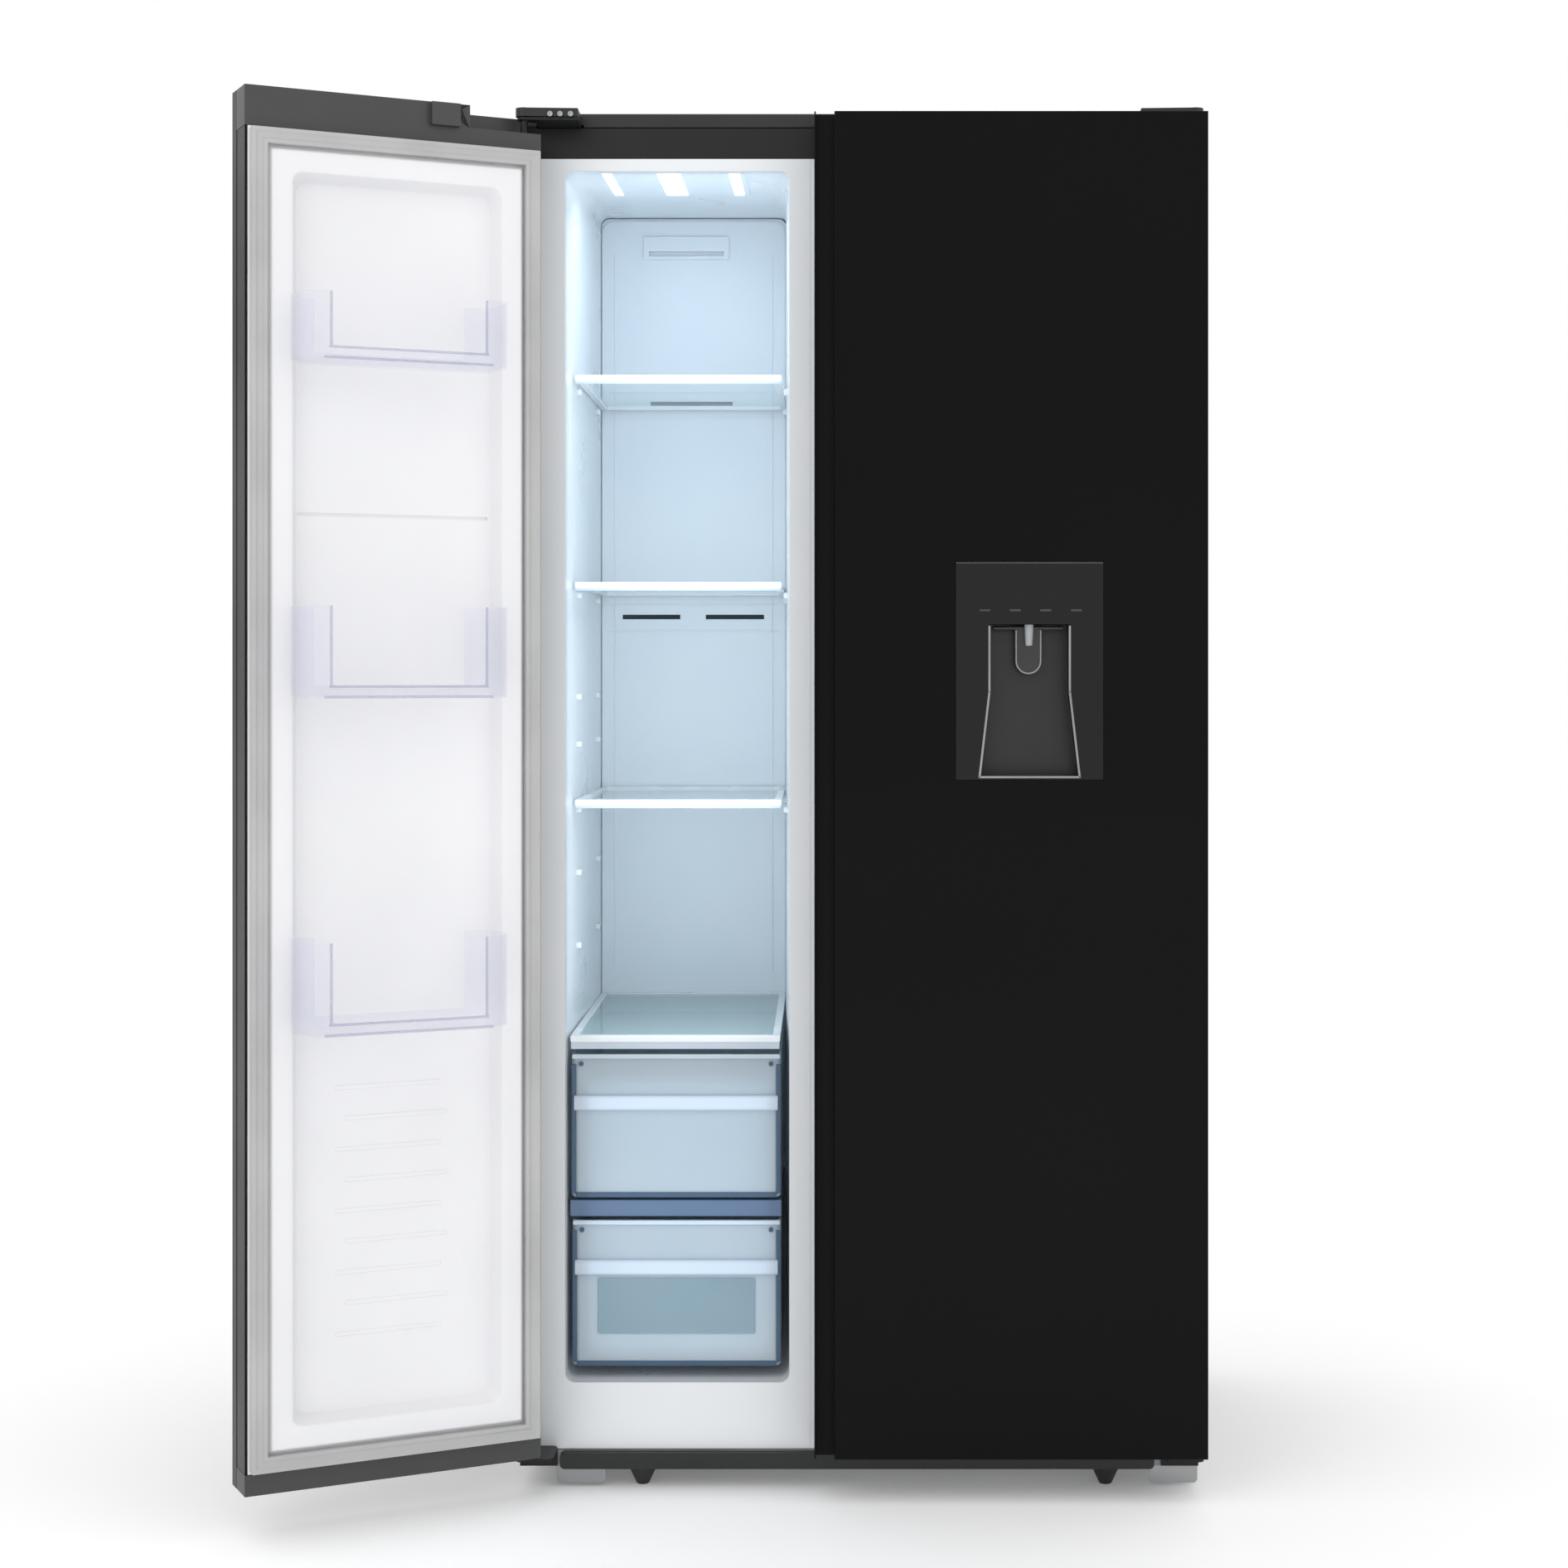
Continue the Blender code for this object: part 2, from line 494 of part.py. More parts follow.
paddle_pivot = empty("paddle_pivot", PADDLE_PIVOT_PLACE, fridge_door)
paddle_line = arc((0, -PADDLE_DROP), PADDLE_HALF, 180, 360, 12) + [(PADDLE_HALF, 0.0), (-PADDLE_HALF, 0.0)]
paddle = prism("dispenser_paddle", paddle_line, PADDLE_PIVOT_PLACE, 0.003, paddle_pivot, upright=True)
pin = rod("paddle_pin", PADDLE_PIVOT_PLACE, 0.0028, 0.090, "X", paddle_pivot, sides=16, as_cutter=True)
boolean(paddle, pin, "UNION")
finish(paddle, (0.30, 0.30, 0.31), 0.25)

nozzle = rod("dispenser_nozzle", (DISPENSER_X, 0.0130, 1.1170), 0.0045, 0.0274, "Z", fridge_door,
             top_radius=0.006)
finish(nozzle, (0.65, 0.68, 0.70), 0.15, 0.0, 0.5)

tank_low, tank_high = (0.045, BIN_BACK, 1.2400), (0.345, 0.158, 1.4300)
tank = box("water_tank", tank_low, tank_high, fridge_door, radius=0.020)
cut(tank, tuple(v + 0.003 for v in tank_low), tuple(v - 0.003 for v in tank_high), fridge_door,
    radius=0.017)
boolean(tank, rod("tank_filler", (0.195, 0.116, 1.430), 0.022, 0.030, "Z", fridge_door, as_cutter=True),
        "DIFFERENCE")
finish(tank, (0.70, 0.78, 0.86), 0.1, 0.0, 0.45)


# ---- shelves, drawers and lamp ------------------------------------------------------------------
def shelf(name, low_x, high_x, front, back, top, trim=SHELF_TRIM):
    """A glass plate in a moulded frame, deeper at its front edge."""
    item = box(name, (low_x, front, top - trim), (high_x, back, top), cabinet)
    for start, end in ((top - 0.0012, top + 0.01), (top - 0.03, top - 0.0052)):
        cut(item, (low_x + SHELF_RIM, front + SHELF_LIP, start), (high_x - SHELF_RIM, back - 0.010, end),
            cabinet)
    return finish(item, (0.80, 0.88, 0.90), 0.15, 0.0, 0.6)


for number, top in enumerate(FREEZER_SHELVES, 1):
    shelf(f"freezer_shelf_{number}", FREEZER_LEFT + 0.0042, FREEZER_RIGHT - 0.0120, SHELF_FRONT, 0.598, top)
shelf("freezer_shelf_4", FREEZER_LEFT + 0.0045, FREEZER_RIGHT - 0.0125, DRAWER_FRONT + 0.002, 0.598,
      DRAWER_SHELF, 0.018)
for number, top in enumerate(FRIDGE_SHELVES, 1):
    shelf(f"fridge_shelf_{number}", FRIDGE_LEFT + 0.0042, FRIDGE_RIGHT - 0.0120, SHELF_FRONT, 0.598, top)


def drawer(name, low, high, handle, carrier):
    """An open-topped drawer with a ridge across its front to pull it by."""
    wall = DRAWER_WALL
    item = box(name, low, high, carrier, radius=0.010)
    cut(item, tuple(v + wall for v in low), (high[0] - wall, high[1] - wall, high[2] + 0.05), carrier,
        radius=0.007)
    add(item, (low[0] + 0.004, low[1] - 0.007, handle - 0.010),
        (high[0] - 0.004, low[1] + 0.001, handle + 0.010), carrier)
    return finish(item, (0.45, 0.60, 0.75), 0.15, 0.0, 0.5)


drawer_left, drawer_right = FREEZER_LEFT + 0.0062, FREEZER_RIGHT - 0.0115
drawer("freezer_drawer_upper", (drawer_left, DRAWER_FRONT, 0.3755), (drawer_right, 0.560, 0.5650), 0.5010,
       cabinet)
drawer("freezer_drawer_lower", (drawer_left + 0.001, DRAWER_FRONT, 0.1530), (drawer_right, 0.405, 0.3460),
       0.2840, cabinet)
drawer("fridge_crisper", (FRIDGE_LEFT + 0.006, SHELF_FRONT + 0.008, 0.1450),
       (FRIDGE_RIGHT - 0.012, 0.405, 0.4450), 0.385, cabinet)

divider = box("drawer_divider", (drawer_left - 0.002, DRAWER_FRONT + 0.003, 0.3560),
              (drawer_right + 0.0005, 0.416, 0.3600), cabinet)
add(divider, (drawer_left - 0.002, DRAWER_FRONT + 0.003, 0.3500), (drawer_right + 0.0005, 0.118, 0.3720),
    cabinet)
finish(divider, (0.18, 0.28, 0.38), 0.3)

lamp = box("freezer_lamp", (-0.345, 0.092, 1.7238), (-0.150, 0.320, 1.7268), cabinet,
           back=(-0.345, -0.150, 1.7350, 1.7380))
finish(lamp, (0.95, 0.97, 1.0), 0.2)

# ---- air ducts and evaporator behind the freezer's back wall --------------------------------------
duct = box("freezer_duct", (-0.3808, 0.6000, 0.3480), (-0.1050, 0.6030, 1.7480), cabinet, radius=0.018,
           along=1)
add(duct, (-0.3180, 0.5960, 1.6900), (-0.1900, 0.6010, 1.7240), cabinet)
for low_x, high_x, height in ((-0.3080, -0.1840, 1.4730), (-0.3500, -0.2630, 1.1530),
                              (-0.2250, -0.1370, 1.1530)):
    cut(duct, (low_x, 0.58, height - 0.0035), (high_x, 0.62, height + 0.0035), cabinet)
cut(duct, (-0.310, 0.58, 1.695), (-0.198, 0.62, 1.702), cabinet)
finish(duct, WHITE, 0.4)

fridge_duct = box("fridge_duct", (0.110, 0.6120, 0.520), (0.230, 0.6385, 1.650), cabinet, radius=0.008)
for height in (0.66, 1.00, 1.32):
    cut(fridge_duct, (0.130, 0.60, height), (0.210, 0.65, height + 0.008), cabinet)
finish(fridge_duct, WHITE, 0.4)

evaporator = box("evaporator", (-0.3450, 0.6070, 0.560), (-0.1400, 0.6350, 0.950), cabinet)
for row in range(12):
    cut(evaporator, (-0.4, 0.60, 0.580 + 0.030 * row), (-0.1, 0.6250, 0.600 + 0.030 * row), cabinet)
finish(evaporator, (0.70, 0.71, 0.72), 0.35, 0.9)


def fan(name, centre, axis, radius, depth):
    """A hub with four pitched blades, turning about its own centre."""
    pivot = empty(name + "_axle", centre, cabinet)
    item = rod(name, centre, radius * 0.34, depth, axis, pivot, sides=16)
    for quarter in range(4):
        turn = math.radians(90 * quarter)
        blade = box(name + "_blade", (-0.0012, 0, -depth * 0.55), (0.0012, radius, depth * 0.55), cabinet,
                    as_cutter=True)
        blade.parent = item
        blade.location = (-math.sin(turn) * radius / 2, math.cos(turn) * radius / 2, 0)
        blade.rotation_euler = (0, math.radians(38), turn)
        blade.rotation_mode = "XYZ"
        boolean(item, blade, "UNION")
    return finish(item, DARK, 0.5)


fan("evaporator_fan", (-0.2430, 0.6195, 1.050), "Y", 0.050, 0.012)
fan("condenser_fan", (-0.0150, 0.5750, 0.160), "X", 0.070, 0.020)


# ---- machine room -------------------------------------------------------------------------------
def turned(name, profile, centre, carrier, steps=24):
    """A turned shape: a profile of (radius, height) from top to bottom, spun about Z."""
    mesh = bpy.data.meshes.new(name)
    mesh.from_pydata([(r, 0, z) for r, z in profile], [(i, i + 1) for i in range(len(profile) - 1)], [])
    item = place(name, mesh, centre, carrier)
    spin = item.modifiers.new("spin", "SCREW")
    spin.steps = steps
    spin.render_steps = steps
    spin.use_merge_vertices = True
    spin.merge_threshold = 0.00001
    return item


dome = [(0.078 * math.sin(a), 0.110 + 0.045 * math.cos(a)) for a in (math.pi / 2 * i / 5 for i in range(6))]
compressor = turned("compressor", dome + [(0.078, 0.045), (0.070, 0.020), (0.045, 0.0), (0.0, 0.0)],
                    (0.2300, 0.5720, CASE_BOTTOM + 0.0050), cabinet)
add(compressor, (0.130, 0.540, CASE_BOTTOM + GAP), (0.330, 0.604, CASE_BOTTOM + 0.012), cabinet)
finish(compressor, (0.02, 0.02, 0.022), 0.35)

coil = bpy.data.curves.new("condenser", "CURVE")
coil.dimensions = "3D"
coil.bevel_depth = 0.004
coil.bevel_resolution = 1
coil.use_fill_caps = True
route = []
for row in range(7):
    height = 0.070 + 0.028 * row
    ends = (-0.360, -0.150) if row % 2 == 0 else (-0.150, -0.360)
    outward = 1 if row % 2 == 0 else -1
    route += [(ends[0], 0.0, height), (ends[1], 0.0, height)]
    if row < 6:
        bend = arc((0, 0), 0.014, -90, 90, 4)[1:-1]
        route += [(ends[1] + outward * x, 0.0, height + 0.014 + y) for x, y in bend]
tube = coil.splines.new("POLY")
tube.points.add(len(route) - 1)
for point, (x, y, z) in zip(tube.points, route):
    point.co = (x, y, z, 1.0)
condenser = bpy.data.objects.new("condenser", coil)
parts.objects.link(condenser)
condenser.parent = cabinet
condenser.location = (0, 0.600, 0)
finish(condenser, (0.08, 0.08, 0.085), 0.4, 0.5)

inlet = box("power_inlet", (0.3450, CABINET_BACK - 0.0350, 0.110), (0.3900, CABINET_BACK - 0.0103, 0.150),
            cabinet, radius=0.004, along=1)
cut(inlet, (0.3510, CABINET_BACK - 0.0250, 0.116), (0.3840, CABINET_BACK, 0.144), cabinet)
finish(inlet, BLACK, 0.5)

# ---- feet and rollers -----------------------------------------------------------------------------
FOOT_Y = 0.098
for name, foot_x in (("front_foot_left", -0.285), ("front_foot_right", 0.325)):
    pivot = empty(name + "_thread", (foot_x, FOOT_Y, 0), cabinet)
    foot = turned(name, [(0.0, 0.0440), (0.005, 0.0440), (0.005, 0.0240), (0.017, 0.0240), (0.017, 0.0190),
                         (0.008, 0.0), (0.0, 0.0)], (foot_x, FOOT_Y, 0), pivot, 20)
    finish(foot, DARK, 0.6)

ROLLER_RADIUS = 0.020
for name, roller_x in (("rear_roller_left", -0.380), ("rear_roller_right", 0.380)):
    pivot = empty(name + "_axle", (roller_x, 0.640, ROLLER_RADIUS), cabinet)
    roller = rod(name, (roller_x, 0.640, ROLLER_RADIUS), ROLLER_RADIUS, 0.022, "X", pivot)
    finish(roller, DARK, 0.6)


# ---- stand the assembly's box on the origin -------------------------------------------------------
def stand_on_origin():
    bpy.context.view_layer.update()
    graph = bpy.context.evaluated_depsgraph_get()
    corners = []
    for item in parts.objects:
        if item.type != "EMPTY":
            shape = item.evaluated_get(graph).to_mesh()
            corners += [item.matrix_world @ vert.co for vert in shape.vertices]
    for axis in (0, 1):
        values = [corner[axis] for corner in corners]
        cabinet.location[axis] -= (min(values) + max(values)) / 2
    bpy.context.view_layer.update()


stand_on_origin()
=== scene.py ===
import math

import bmesh
import bpy
from mathutils import Matrix, Vector


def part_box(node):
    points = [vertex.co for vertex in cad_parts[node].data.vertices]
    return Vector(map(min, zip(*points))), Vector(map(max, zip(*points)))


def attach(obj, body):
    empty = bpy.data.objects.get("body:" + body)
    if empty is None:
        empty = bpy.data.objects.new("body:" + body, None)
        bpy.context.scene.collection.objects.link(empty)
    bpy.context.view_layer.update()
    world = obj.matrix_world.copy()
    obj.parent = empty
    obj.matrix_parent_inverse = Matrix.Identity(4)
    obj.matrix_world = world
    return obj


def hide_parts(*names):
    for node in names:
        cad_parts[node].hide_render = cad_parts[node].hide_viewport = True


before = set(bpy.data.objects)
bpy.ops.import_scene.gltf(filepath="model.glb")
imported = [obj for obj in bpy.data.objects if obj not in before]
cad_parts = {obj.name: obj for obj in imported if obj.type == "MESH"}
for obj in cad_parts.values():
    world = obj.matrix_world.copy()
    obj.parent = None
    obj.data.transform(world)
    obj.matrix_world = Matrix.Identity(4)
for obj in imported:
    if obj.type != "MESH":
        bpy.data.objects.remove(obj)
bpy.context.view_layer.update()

# The room: a pale floor and soft daylight from all sides, with the camera in front of the appliance, a
# little above its middle. A cold lamp in each compartment gives the light of the built-in strips.
case_low, case_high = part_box("outer_case")
DOOR_FRONT_TO_CASE = 0.078
MIDDLE_X = (case_low.x + case_high.x) / 2
FRONT_Y = case_low.y - DOOR_FRONT_TO_CASE


def at(x, y, z):
    """A place given from the middle of the cabinet, the front of its shut doors and the floor."""
    return Vector((MIDDLE_X + x, FRONT_Y + y, z))


bpy.ops.object.camera_add(location=at(-0.040, -3.5, 1.065), rotation=(math.pi / 2, 0, 0))
camera = bpy.context.object
camera.data.sensor_width = 36
camera.data.lens = 62.6
camera.data.shift_x = -0.0285
camera.data.shift_y = -0.0692
bpy.context.scene.camera = camera
bpy.context.scene.view_settings.view_transform = "Standard"

sky = bpy.data.worlds.new("daylight")
sky.use_nodes = True
sky.node_tree.nodes["Background"].inputs["Color"].default_value = (1.0, 1.0, 1.0, 1.0)
sky.node_tree.nodes["Background"].inputs["Strength"].default_value = 1.0
bpy.context.scene.world = sky

bpy.ops.object.select_all(action="DESELECT")
bpy.ops.mesh.primitive_plane_add(size=40, location=at(0, 0, 0))
floor = bpy.context.object
floor.name = "studio_floor"
bpy.ops.object.transform_apply(location=True, rotation=True, scale=True)
chalk = bpy.data.materials.new("studio_white")
chalk.use_nodes = True
chalk.node_tree.nodes["Principled BSDF"].inputs["Base Color"].default_value = (0.98, 0.98, 0.98, 1.0)
chalk.node_tree.nodes["Principled BSDF"].inputs["Roughness"].default_value = 0.9
chalk.node_tree.nodes["Principled BSDF"].inputs["Specular IOR Level"].default_value = 0.0
chalk.node_tree.nodes["Principled BSDF"].inputs["Emission Color"].default_value = (1.0, 1.0, 1.0, 1.0)
chalk.node_tree.nodes["Principled BSDF"].inputs["Emission Strength"].default_value = 0.12
floor.data.materials.append(chalk)


def soft_light(name, place, aim, size, watts, tint=(1.0, 1.0, 1.0)):
    """A rectangular lamp at a place, turned towards a point."""
    lamp = bpy.data.lights.new(name, "AREA")
    lamp.shape = "RECTANGLE"
    lamp.size, lamp.size_y = size
    lamp.energy = watts
    lamp.color = tint
    item = bpy.data.objects.new(name, lamp)
    bpy.context.scene.collection.objects.link(item)
    item.location = place
    item.rotation_euler = (aim - place).to_track_quat("-Z", "Y").to_euler()


COLD_WHITE = (0.72, 0.87, 1.0)
soft_light("key", at(-2.2, -3.2, 3.0), at(-0.1, 0.2, 0.9), (2.0, 2.0), 14)
soft_light("fill", at(2.6, -2.6, 2.0), at(0.1, 0.2, 0.8), (2.0, 2.0), 6)
soft_light("freezer_glow", at(-0.238, 0.200, 1.712), at(-0.238, 0.420, 1.00), (0.20, 0.05), 0.30, COLD_WHITE)
soft_light("freezer_wash", at(-0.238, 0.090, 1.150), at(-0.238, 0.600, 1.150), (0.24, 1.10), 1.1, COLD_WHITE)
soft_light("drawer_wash", at(-0.238, 0.084, 0.350), at(-0.238, 0.600, 0.350), (0.24, 0.36), 0.12, COLD_WHITE)
soft_light("fridge_glow", at(0.170, 0.200, 1.712), at(0.170, 0.420, 1.00), (0.30, 0.05), 0.45, COLD_WHITE)
soft_light("fridge_wash", at(0.170, 0.200, 0.950), at(0.170, 0.600, 0.950), (0.34, 1.30), 1.2, COLD_WHITE)

# The case: a wrapper of thin sheet steel, folded round its front edges and painted satin black.
# The folded edges are broken so that they catch the light.


def skin(name, dark, light, rough, scale=60.0, bump=0.15, depth=0.0003, **sockets):
    """A finish that varies a little in colour and gloss. The other sockets are plain values."""
    stuff = bpy.data.materials.new(name)
    stuff.use_nodes = True
    stuff.surface_render_method = "DITHERED"
    nodes, links = stuff.node_tree.nodes, stuff.node_tree.links
    shader = nodes["Principled BSDF"]
    place = nodes.new("ShaderNodeTexCoord")
    cloud = nodes.new("ShaderNodeTexNoise")
    cloud.inputs["Scale"].default_value = scale / 12
    cloud.inputs["Detail"].default_value = 4.0
    grain = nodes.new("ShaderNodeTexNoise")
    grain.inputs["Scale"].default_value = scale * 10
    grain.inputs["Detail"].default_value = 3.0
    links.new(place.outputs["Object"], cloud.inputs["Vector"])
    links.new(place.outputs["Object"], grain.inputs["Vector"])
    tone = nodes.new("ShaderNodeValToRGB")
    tone.color_ramp.elements[0].position = 0.35
    tone.color_ramp.elements[1].position = 0.65
    tone.color_ramp.elements[0].color = (*dark, 1.0)
    tone.color_ramp.elements[1].color = (*light, 1.0)
    links.new(cloud.outputs["Fac"], tone.inputs["Fac"])
    links.new(tone.outputs["Color"], shader.inputs["Base Color"])
    gloss = nodes.new("ShaderNodeMapRange")
    gloss.inputs["From Min"].default_value = 0.3
    gloss.inputs["From Max"].default_value = 0.7
    gloss.inputs["To Min"].default_value = rough[0]
    gloss.inputs["To Max"].default_value = rough[1]
    links.new(cloud.outputs["Fac"], gloss.inputs["Value"])
    links.new(gloss.outputs["Result"], shader.inputs["Roughness"])
    relief = nodes.new("ShaderNodeBump")
    relief.inputs["Strength"].default_value = bump
    relief.inputs["Distance"].default_value = depth
    links.new(grain.outputs["Fac"], relief.inputs["Height"])
    links.new(relief.outputs["Normal"], shader.inputs["Normal"])
    for socket, value in sockets.items():
        shader.inputs[socket.replace("_", " ")].default_value = value
    return stuff


def shaded(piece, sharp):
    """Smooth shading with flat broad faces, and hard lines where faces meet at more than an angle."""
    bpy.ops.object.shade_smooth_by_angle(angle=math.radians(sharp))
    level = piece.modifiers.new("level", "WEIGHTED_NORMAL")
    level.keep_sharp = True
    bpy.ops.object.modifier_apply(modifier="level")
    return piece


def softened(node, name, width, steps=2):
    """A copy of a solid from the frame with its edges rounded over."""
    piece = bpy.data.objects.new(name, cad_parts[node].data.copy())
    bpy.context.scene.collection.objects.link(piece)
    bpy.ops.object.select_all(action="DESELECT")
    piece.select_set(True)
    bpy.context.view_layer.objects.active = piece
    piece.data.materials.clear()
    bpy.ops.object.mode_set(mode="EDIT")
    bpy.ops.mesh.select_all(action="SELECT")
    bpy.ops.mesh.remove_doubles(threshold=0.00001)
    bpy.ops.mesh.dissolve_limited(angle_limit=math.radians(0.5))
    bpy.ops.mesh.customdata_custom_splitnormals_clear()
    bpy.ops.object.mode_set(mode="OBJECT")
    edge = piece.modifiers.new("edge", "BEVEL")
    edge.width = width
    edge.segments = steps
    edge.limit_method = "ANGLE"
    edge.angle_limit = math.radians(35)
    edge.harden_normals = False
    bpy.ops.object.modifier_apply(modifier="edge")
    return shaded(piece, 45)


satin_black = skin("satin_black_paint", (0.007, 0.007, 0.008), (0.010, 0.010, 0.011), (0.34, 0.42), 40, 0.25,
                   Specular_IOR_Level=0.3)
wrapper = softened("outer_case", "steel_wrapper", 0.0008)
wrapper.data.materials.append(satin_black)
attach(wrapper, "cabinet")
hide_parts("outer_case")

# The foam between the wrapper and the tubs: poured in place, so it is left as it set, pale and porous.
# It shows only where a slot or a gap looks in past the pieces that cover it.
set_foam = skin("cured_foam", (0.62, 0.55, 0.34), (0.78, 0.72, 0.50), (0.85, 0.95), 80, 0.8, 0.001)
for node in ("insulation_foam", "freezer_door_foam", "fridge_door_foam"):
    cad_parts[node].data.materials.clear()
    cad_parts[node].data.materials.append(set_foam)

# The tubs: each compartment is one deep moulding of white plastic sheet, with a flange that closes the front
# of the cabinet. Its mouth and corners are well rounded, and it steps forward over the machine room.


def choose(kind, test):
    """Select the vertices, edges or faces being edited whose middle and direction pass a test."""
    bpy.ops.mesh.select_all(action="DESELECT")
    bpy.ops.mesh.select_mode(type=kind)
    shape = bmesh.from_edit_mesh(bpy.context.object.data)
    if kind == "VERT":
        for item in shape.verts:
            item.select_set(test(item.co, item.normal))
    elif kind == "EDGE":
        for item in shape.edges:
            ends = item.verts[0].co, item.verts[1].co
            item.select_set(test((ends[0] + ends[1]) / 2, (ends[1] - ends[0]).normalized()))
    else:
        for item in shape.faces:
            item.select_set(test(item.calc_center_median(), item.normal))
    shape.select_flush_mode()
    bmesh.update_edit_mesh(bpy.context.object.data)


def begin(name, low, high):
    """A block between two corners, left in edit mode for shaping."""
    bpy.ops.object.select_all(action="DESELECT")
    low, high = Vector(low), Vector(high)
    bpy.ops.mesh.primitive_cube_add(size=1, location=(low + high) / 2, scale=high - low)
    piece = bpy.context.object
    piece.name = name
    piece.data.name = name
    bpy.ops.object.transform_apply(location=True, rotation=True, scale=True)
    bpy.ops.object.mode_set(mode="EDIT")
    return piece


def draw_out(x=0.0, y=0.0, z=0.0):
    """Extrude what is selected by a distance."""
    bpy.ops.mesh.extrude_region_move(TRANSFORM_OT_translate={"value": (x, y, z)})


def end(piece, stuff, wall=0.0, edge=0.0, steps=2, smooth=45):
    """Leave edit mode, give a sheet its wall, round its rims and shade it."""
    bpy.ops.mesh.select_all(action="SELECT")
    bpy.ops.mesh.normals_make_consistent(inside=False)
    bpy.ops.object.mode_set(mode="OBJECT")
    if wall:
        sheet = piece.modifiers.new("wall", "SOLIDIFY")
        sheet.thickness = abs(wall)
        sheet.offset = -1.0 if wall > 0 else 1.0
        sheet.use_even_offset = True
        bpy.ops.object.modifier_apply(modifier="wall")
    if edge:
        rim = piece.modifiers.new("rim", "BEVEL")
        rim.width = edge
        rim.segments = steps
        rim.limit_method = "ANGLE"
        rim.angle_limit = math.radians(40)
        bpy.ops.object.modifier_apply(modifier="rim")
    shaded(piece, smooth)
    piece.data.materials.append(stuff)
    return piece


CEILING_FRONT, CEILING_RISE = 1.727, 0.0498
FREEZER_WALLS, FRIDGE_WALLS = (-0.386, -0.0915), (-0.035, 0.3775)
RAIL_DEPTH = 0.0403


def tub(name, node, left, right, stuff):
    """A compartment's moulding. left and right are its inner walls at the mouth, from the middle."""
    low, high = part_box(node)
    mouth_left, mouth_right = MIDDLE_X + left, MIDDLE_X + right
    front, step_y, back_y = low.y, FRONT_Y + 0.420, FRONT_Y + 0.640
    bottom, step_z, top = 0.1373, 0.345, CEILING_FRONT
    piece = begin(name, (mouth_left, front, bottom), (mouth_right, step_y, step_z))
    choose("FACE", lambda p, n: n.z > 0.9)
    draw_out(z=top - step_z)
    choose("FACE", lambda p, n: n.y > 0.9 and p.z > step_z)
    draw_out(y=back_y - step_y)
    choose("VERT", lambda p, n: p.y > back_y - 0.001 and p.z > top - 0.001)
    bpy.ops.transform.translate(value=(0, 0, CEILING_RISE * 0.562))
    choose("VERT", lambda p, n: abs(p.y - step_y) < 0.001 and p.z > top - 0.001)
    bpy.ops.transform.translate(value=(0, 0, CEILING_RISE * 0.342))
    choose("VERT", lambda p, n: p.y > step_y - 0.001 and p.x < mouth_left + 0.001)
    bpy.ops.transform.translate(value=(0.0038, 0, 0))
    choose("VERT", lambda p, n: p.y > step_y - 0.001 and p.x > mouth_right - 0.001)
    bpy.ops.transform.translate(value=(-0.0100, 0, 0))
    choose("FACE", lambda p, n: n.y < -0.9)
    bpy.ops.mesh.delete(type="FACE")
    choose("EDGE", lambda p, d: p.y > front + 0.001)
    bpy.ops.mesh.bevel(offset=0.013, segments=5, affect="EDGES")
    choose("EDGE", lambda p, d: p.y < front + 0.0001)
    draw_out(y=0.0)
    for axis, middle, wanted in ((0, (mouth_left + mouth_right) / 2, (low.x, high.x)),
                                 (2, (bottom + top) / 2, (low.z, case_high.z - RAIL_DEPTH))):
        for side in (0, 1):
            choose("VERT", lambda p, n: False)
            shape = bmesh.from_edit_mesh(piece.data)
            rim = {v for e in shape.edges if e.is_boundary for v in e.verts}
            for vert in rim:
                vert.select_set((vert.co[axis] > middle) == bool(side))
            for vert in rim:
                if vert.select:
                    vert.co[axis] = wanted[side]
            bmesh.update_edit_mesh(piece.data)
    choose("EDGE", lambda p, d: False)
    shape = bmesh.from_edit_mesh(piece.data)
    for edge in shape.edges:
        flat = [abs(f.normal.y) > 0.99 for f in edge.link_faces]
        edge.select_set(len(flat) == 2 and flat.count(True) == 1
                        and max(v.co.y for v in edge.verts) < front + 0.0001)
    bmesh.update_edit_mesh(piece.data)
    bpy.ops.mesh.bevel(offset=0.006, segments=4, affect="EDGES")
    bpy.ops.mesh.select_all(action="SELECT")
    bpy.ops.mesh.normals_make_consistent(inside=True)
    bpy.ops.object.mode_set(mode="OBJECT")
    sheet = piece.modifiers.new("wall", "SOLIDIFY")
    sheet.thickness = 0.0012
    sheet.offset = -1.0
    bpy.ops.object.modifier_apply(modifier="wall")
    bpy.ops.object.shade_smooth_by_angle(angle=math.radians(35))
    piece.data.materials.append(stuff)
    return piece


white_plastic = skin("white_tub_plastic", (0.80, 0.83, 0.86), (0.84, 0.86, 0.88), (0.26, 0.34), 50, 0.12,
                     0.0002)
freezer_tub = tub("freezer_tub", "freezer_liner", *FREEZER_WALLS, white_plastic)
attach(freezer_tub, "cabinet")
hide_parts("freezer_liner")
fridge_tub = tub("fridge_tub", "fridge_liner", *FRIDGE_WALLS, white_plastic)
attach(fridge_tub, "cabinet")
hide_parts("fridge_liner")

# The shelf pegs: stubby ledges moulded in the tubs' side walls, two a side under each shelf.
# Spare ones between the shelves let them be set at other heights.


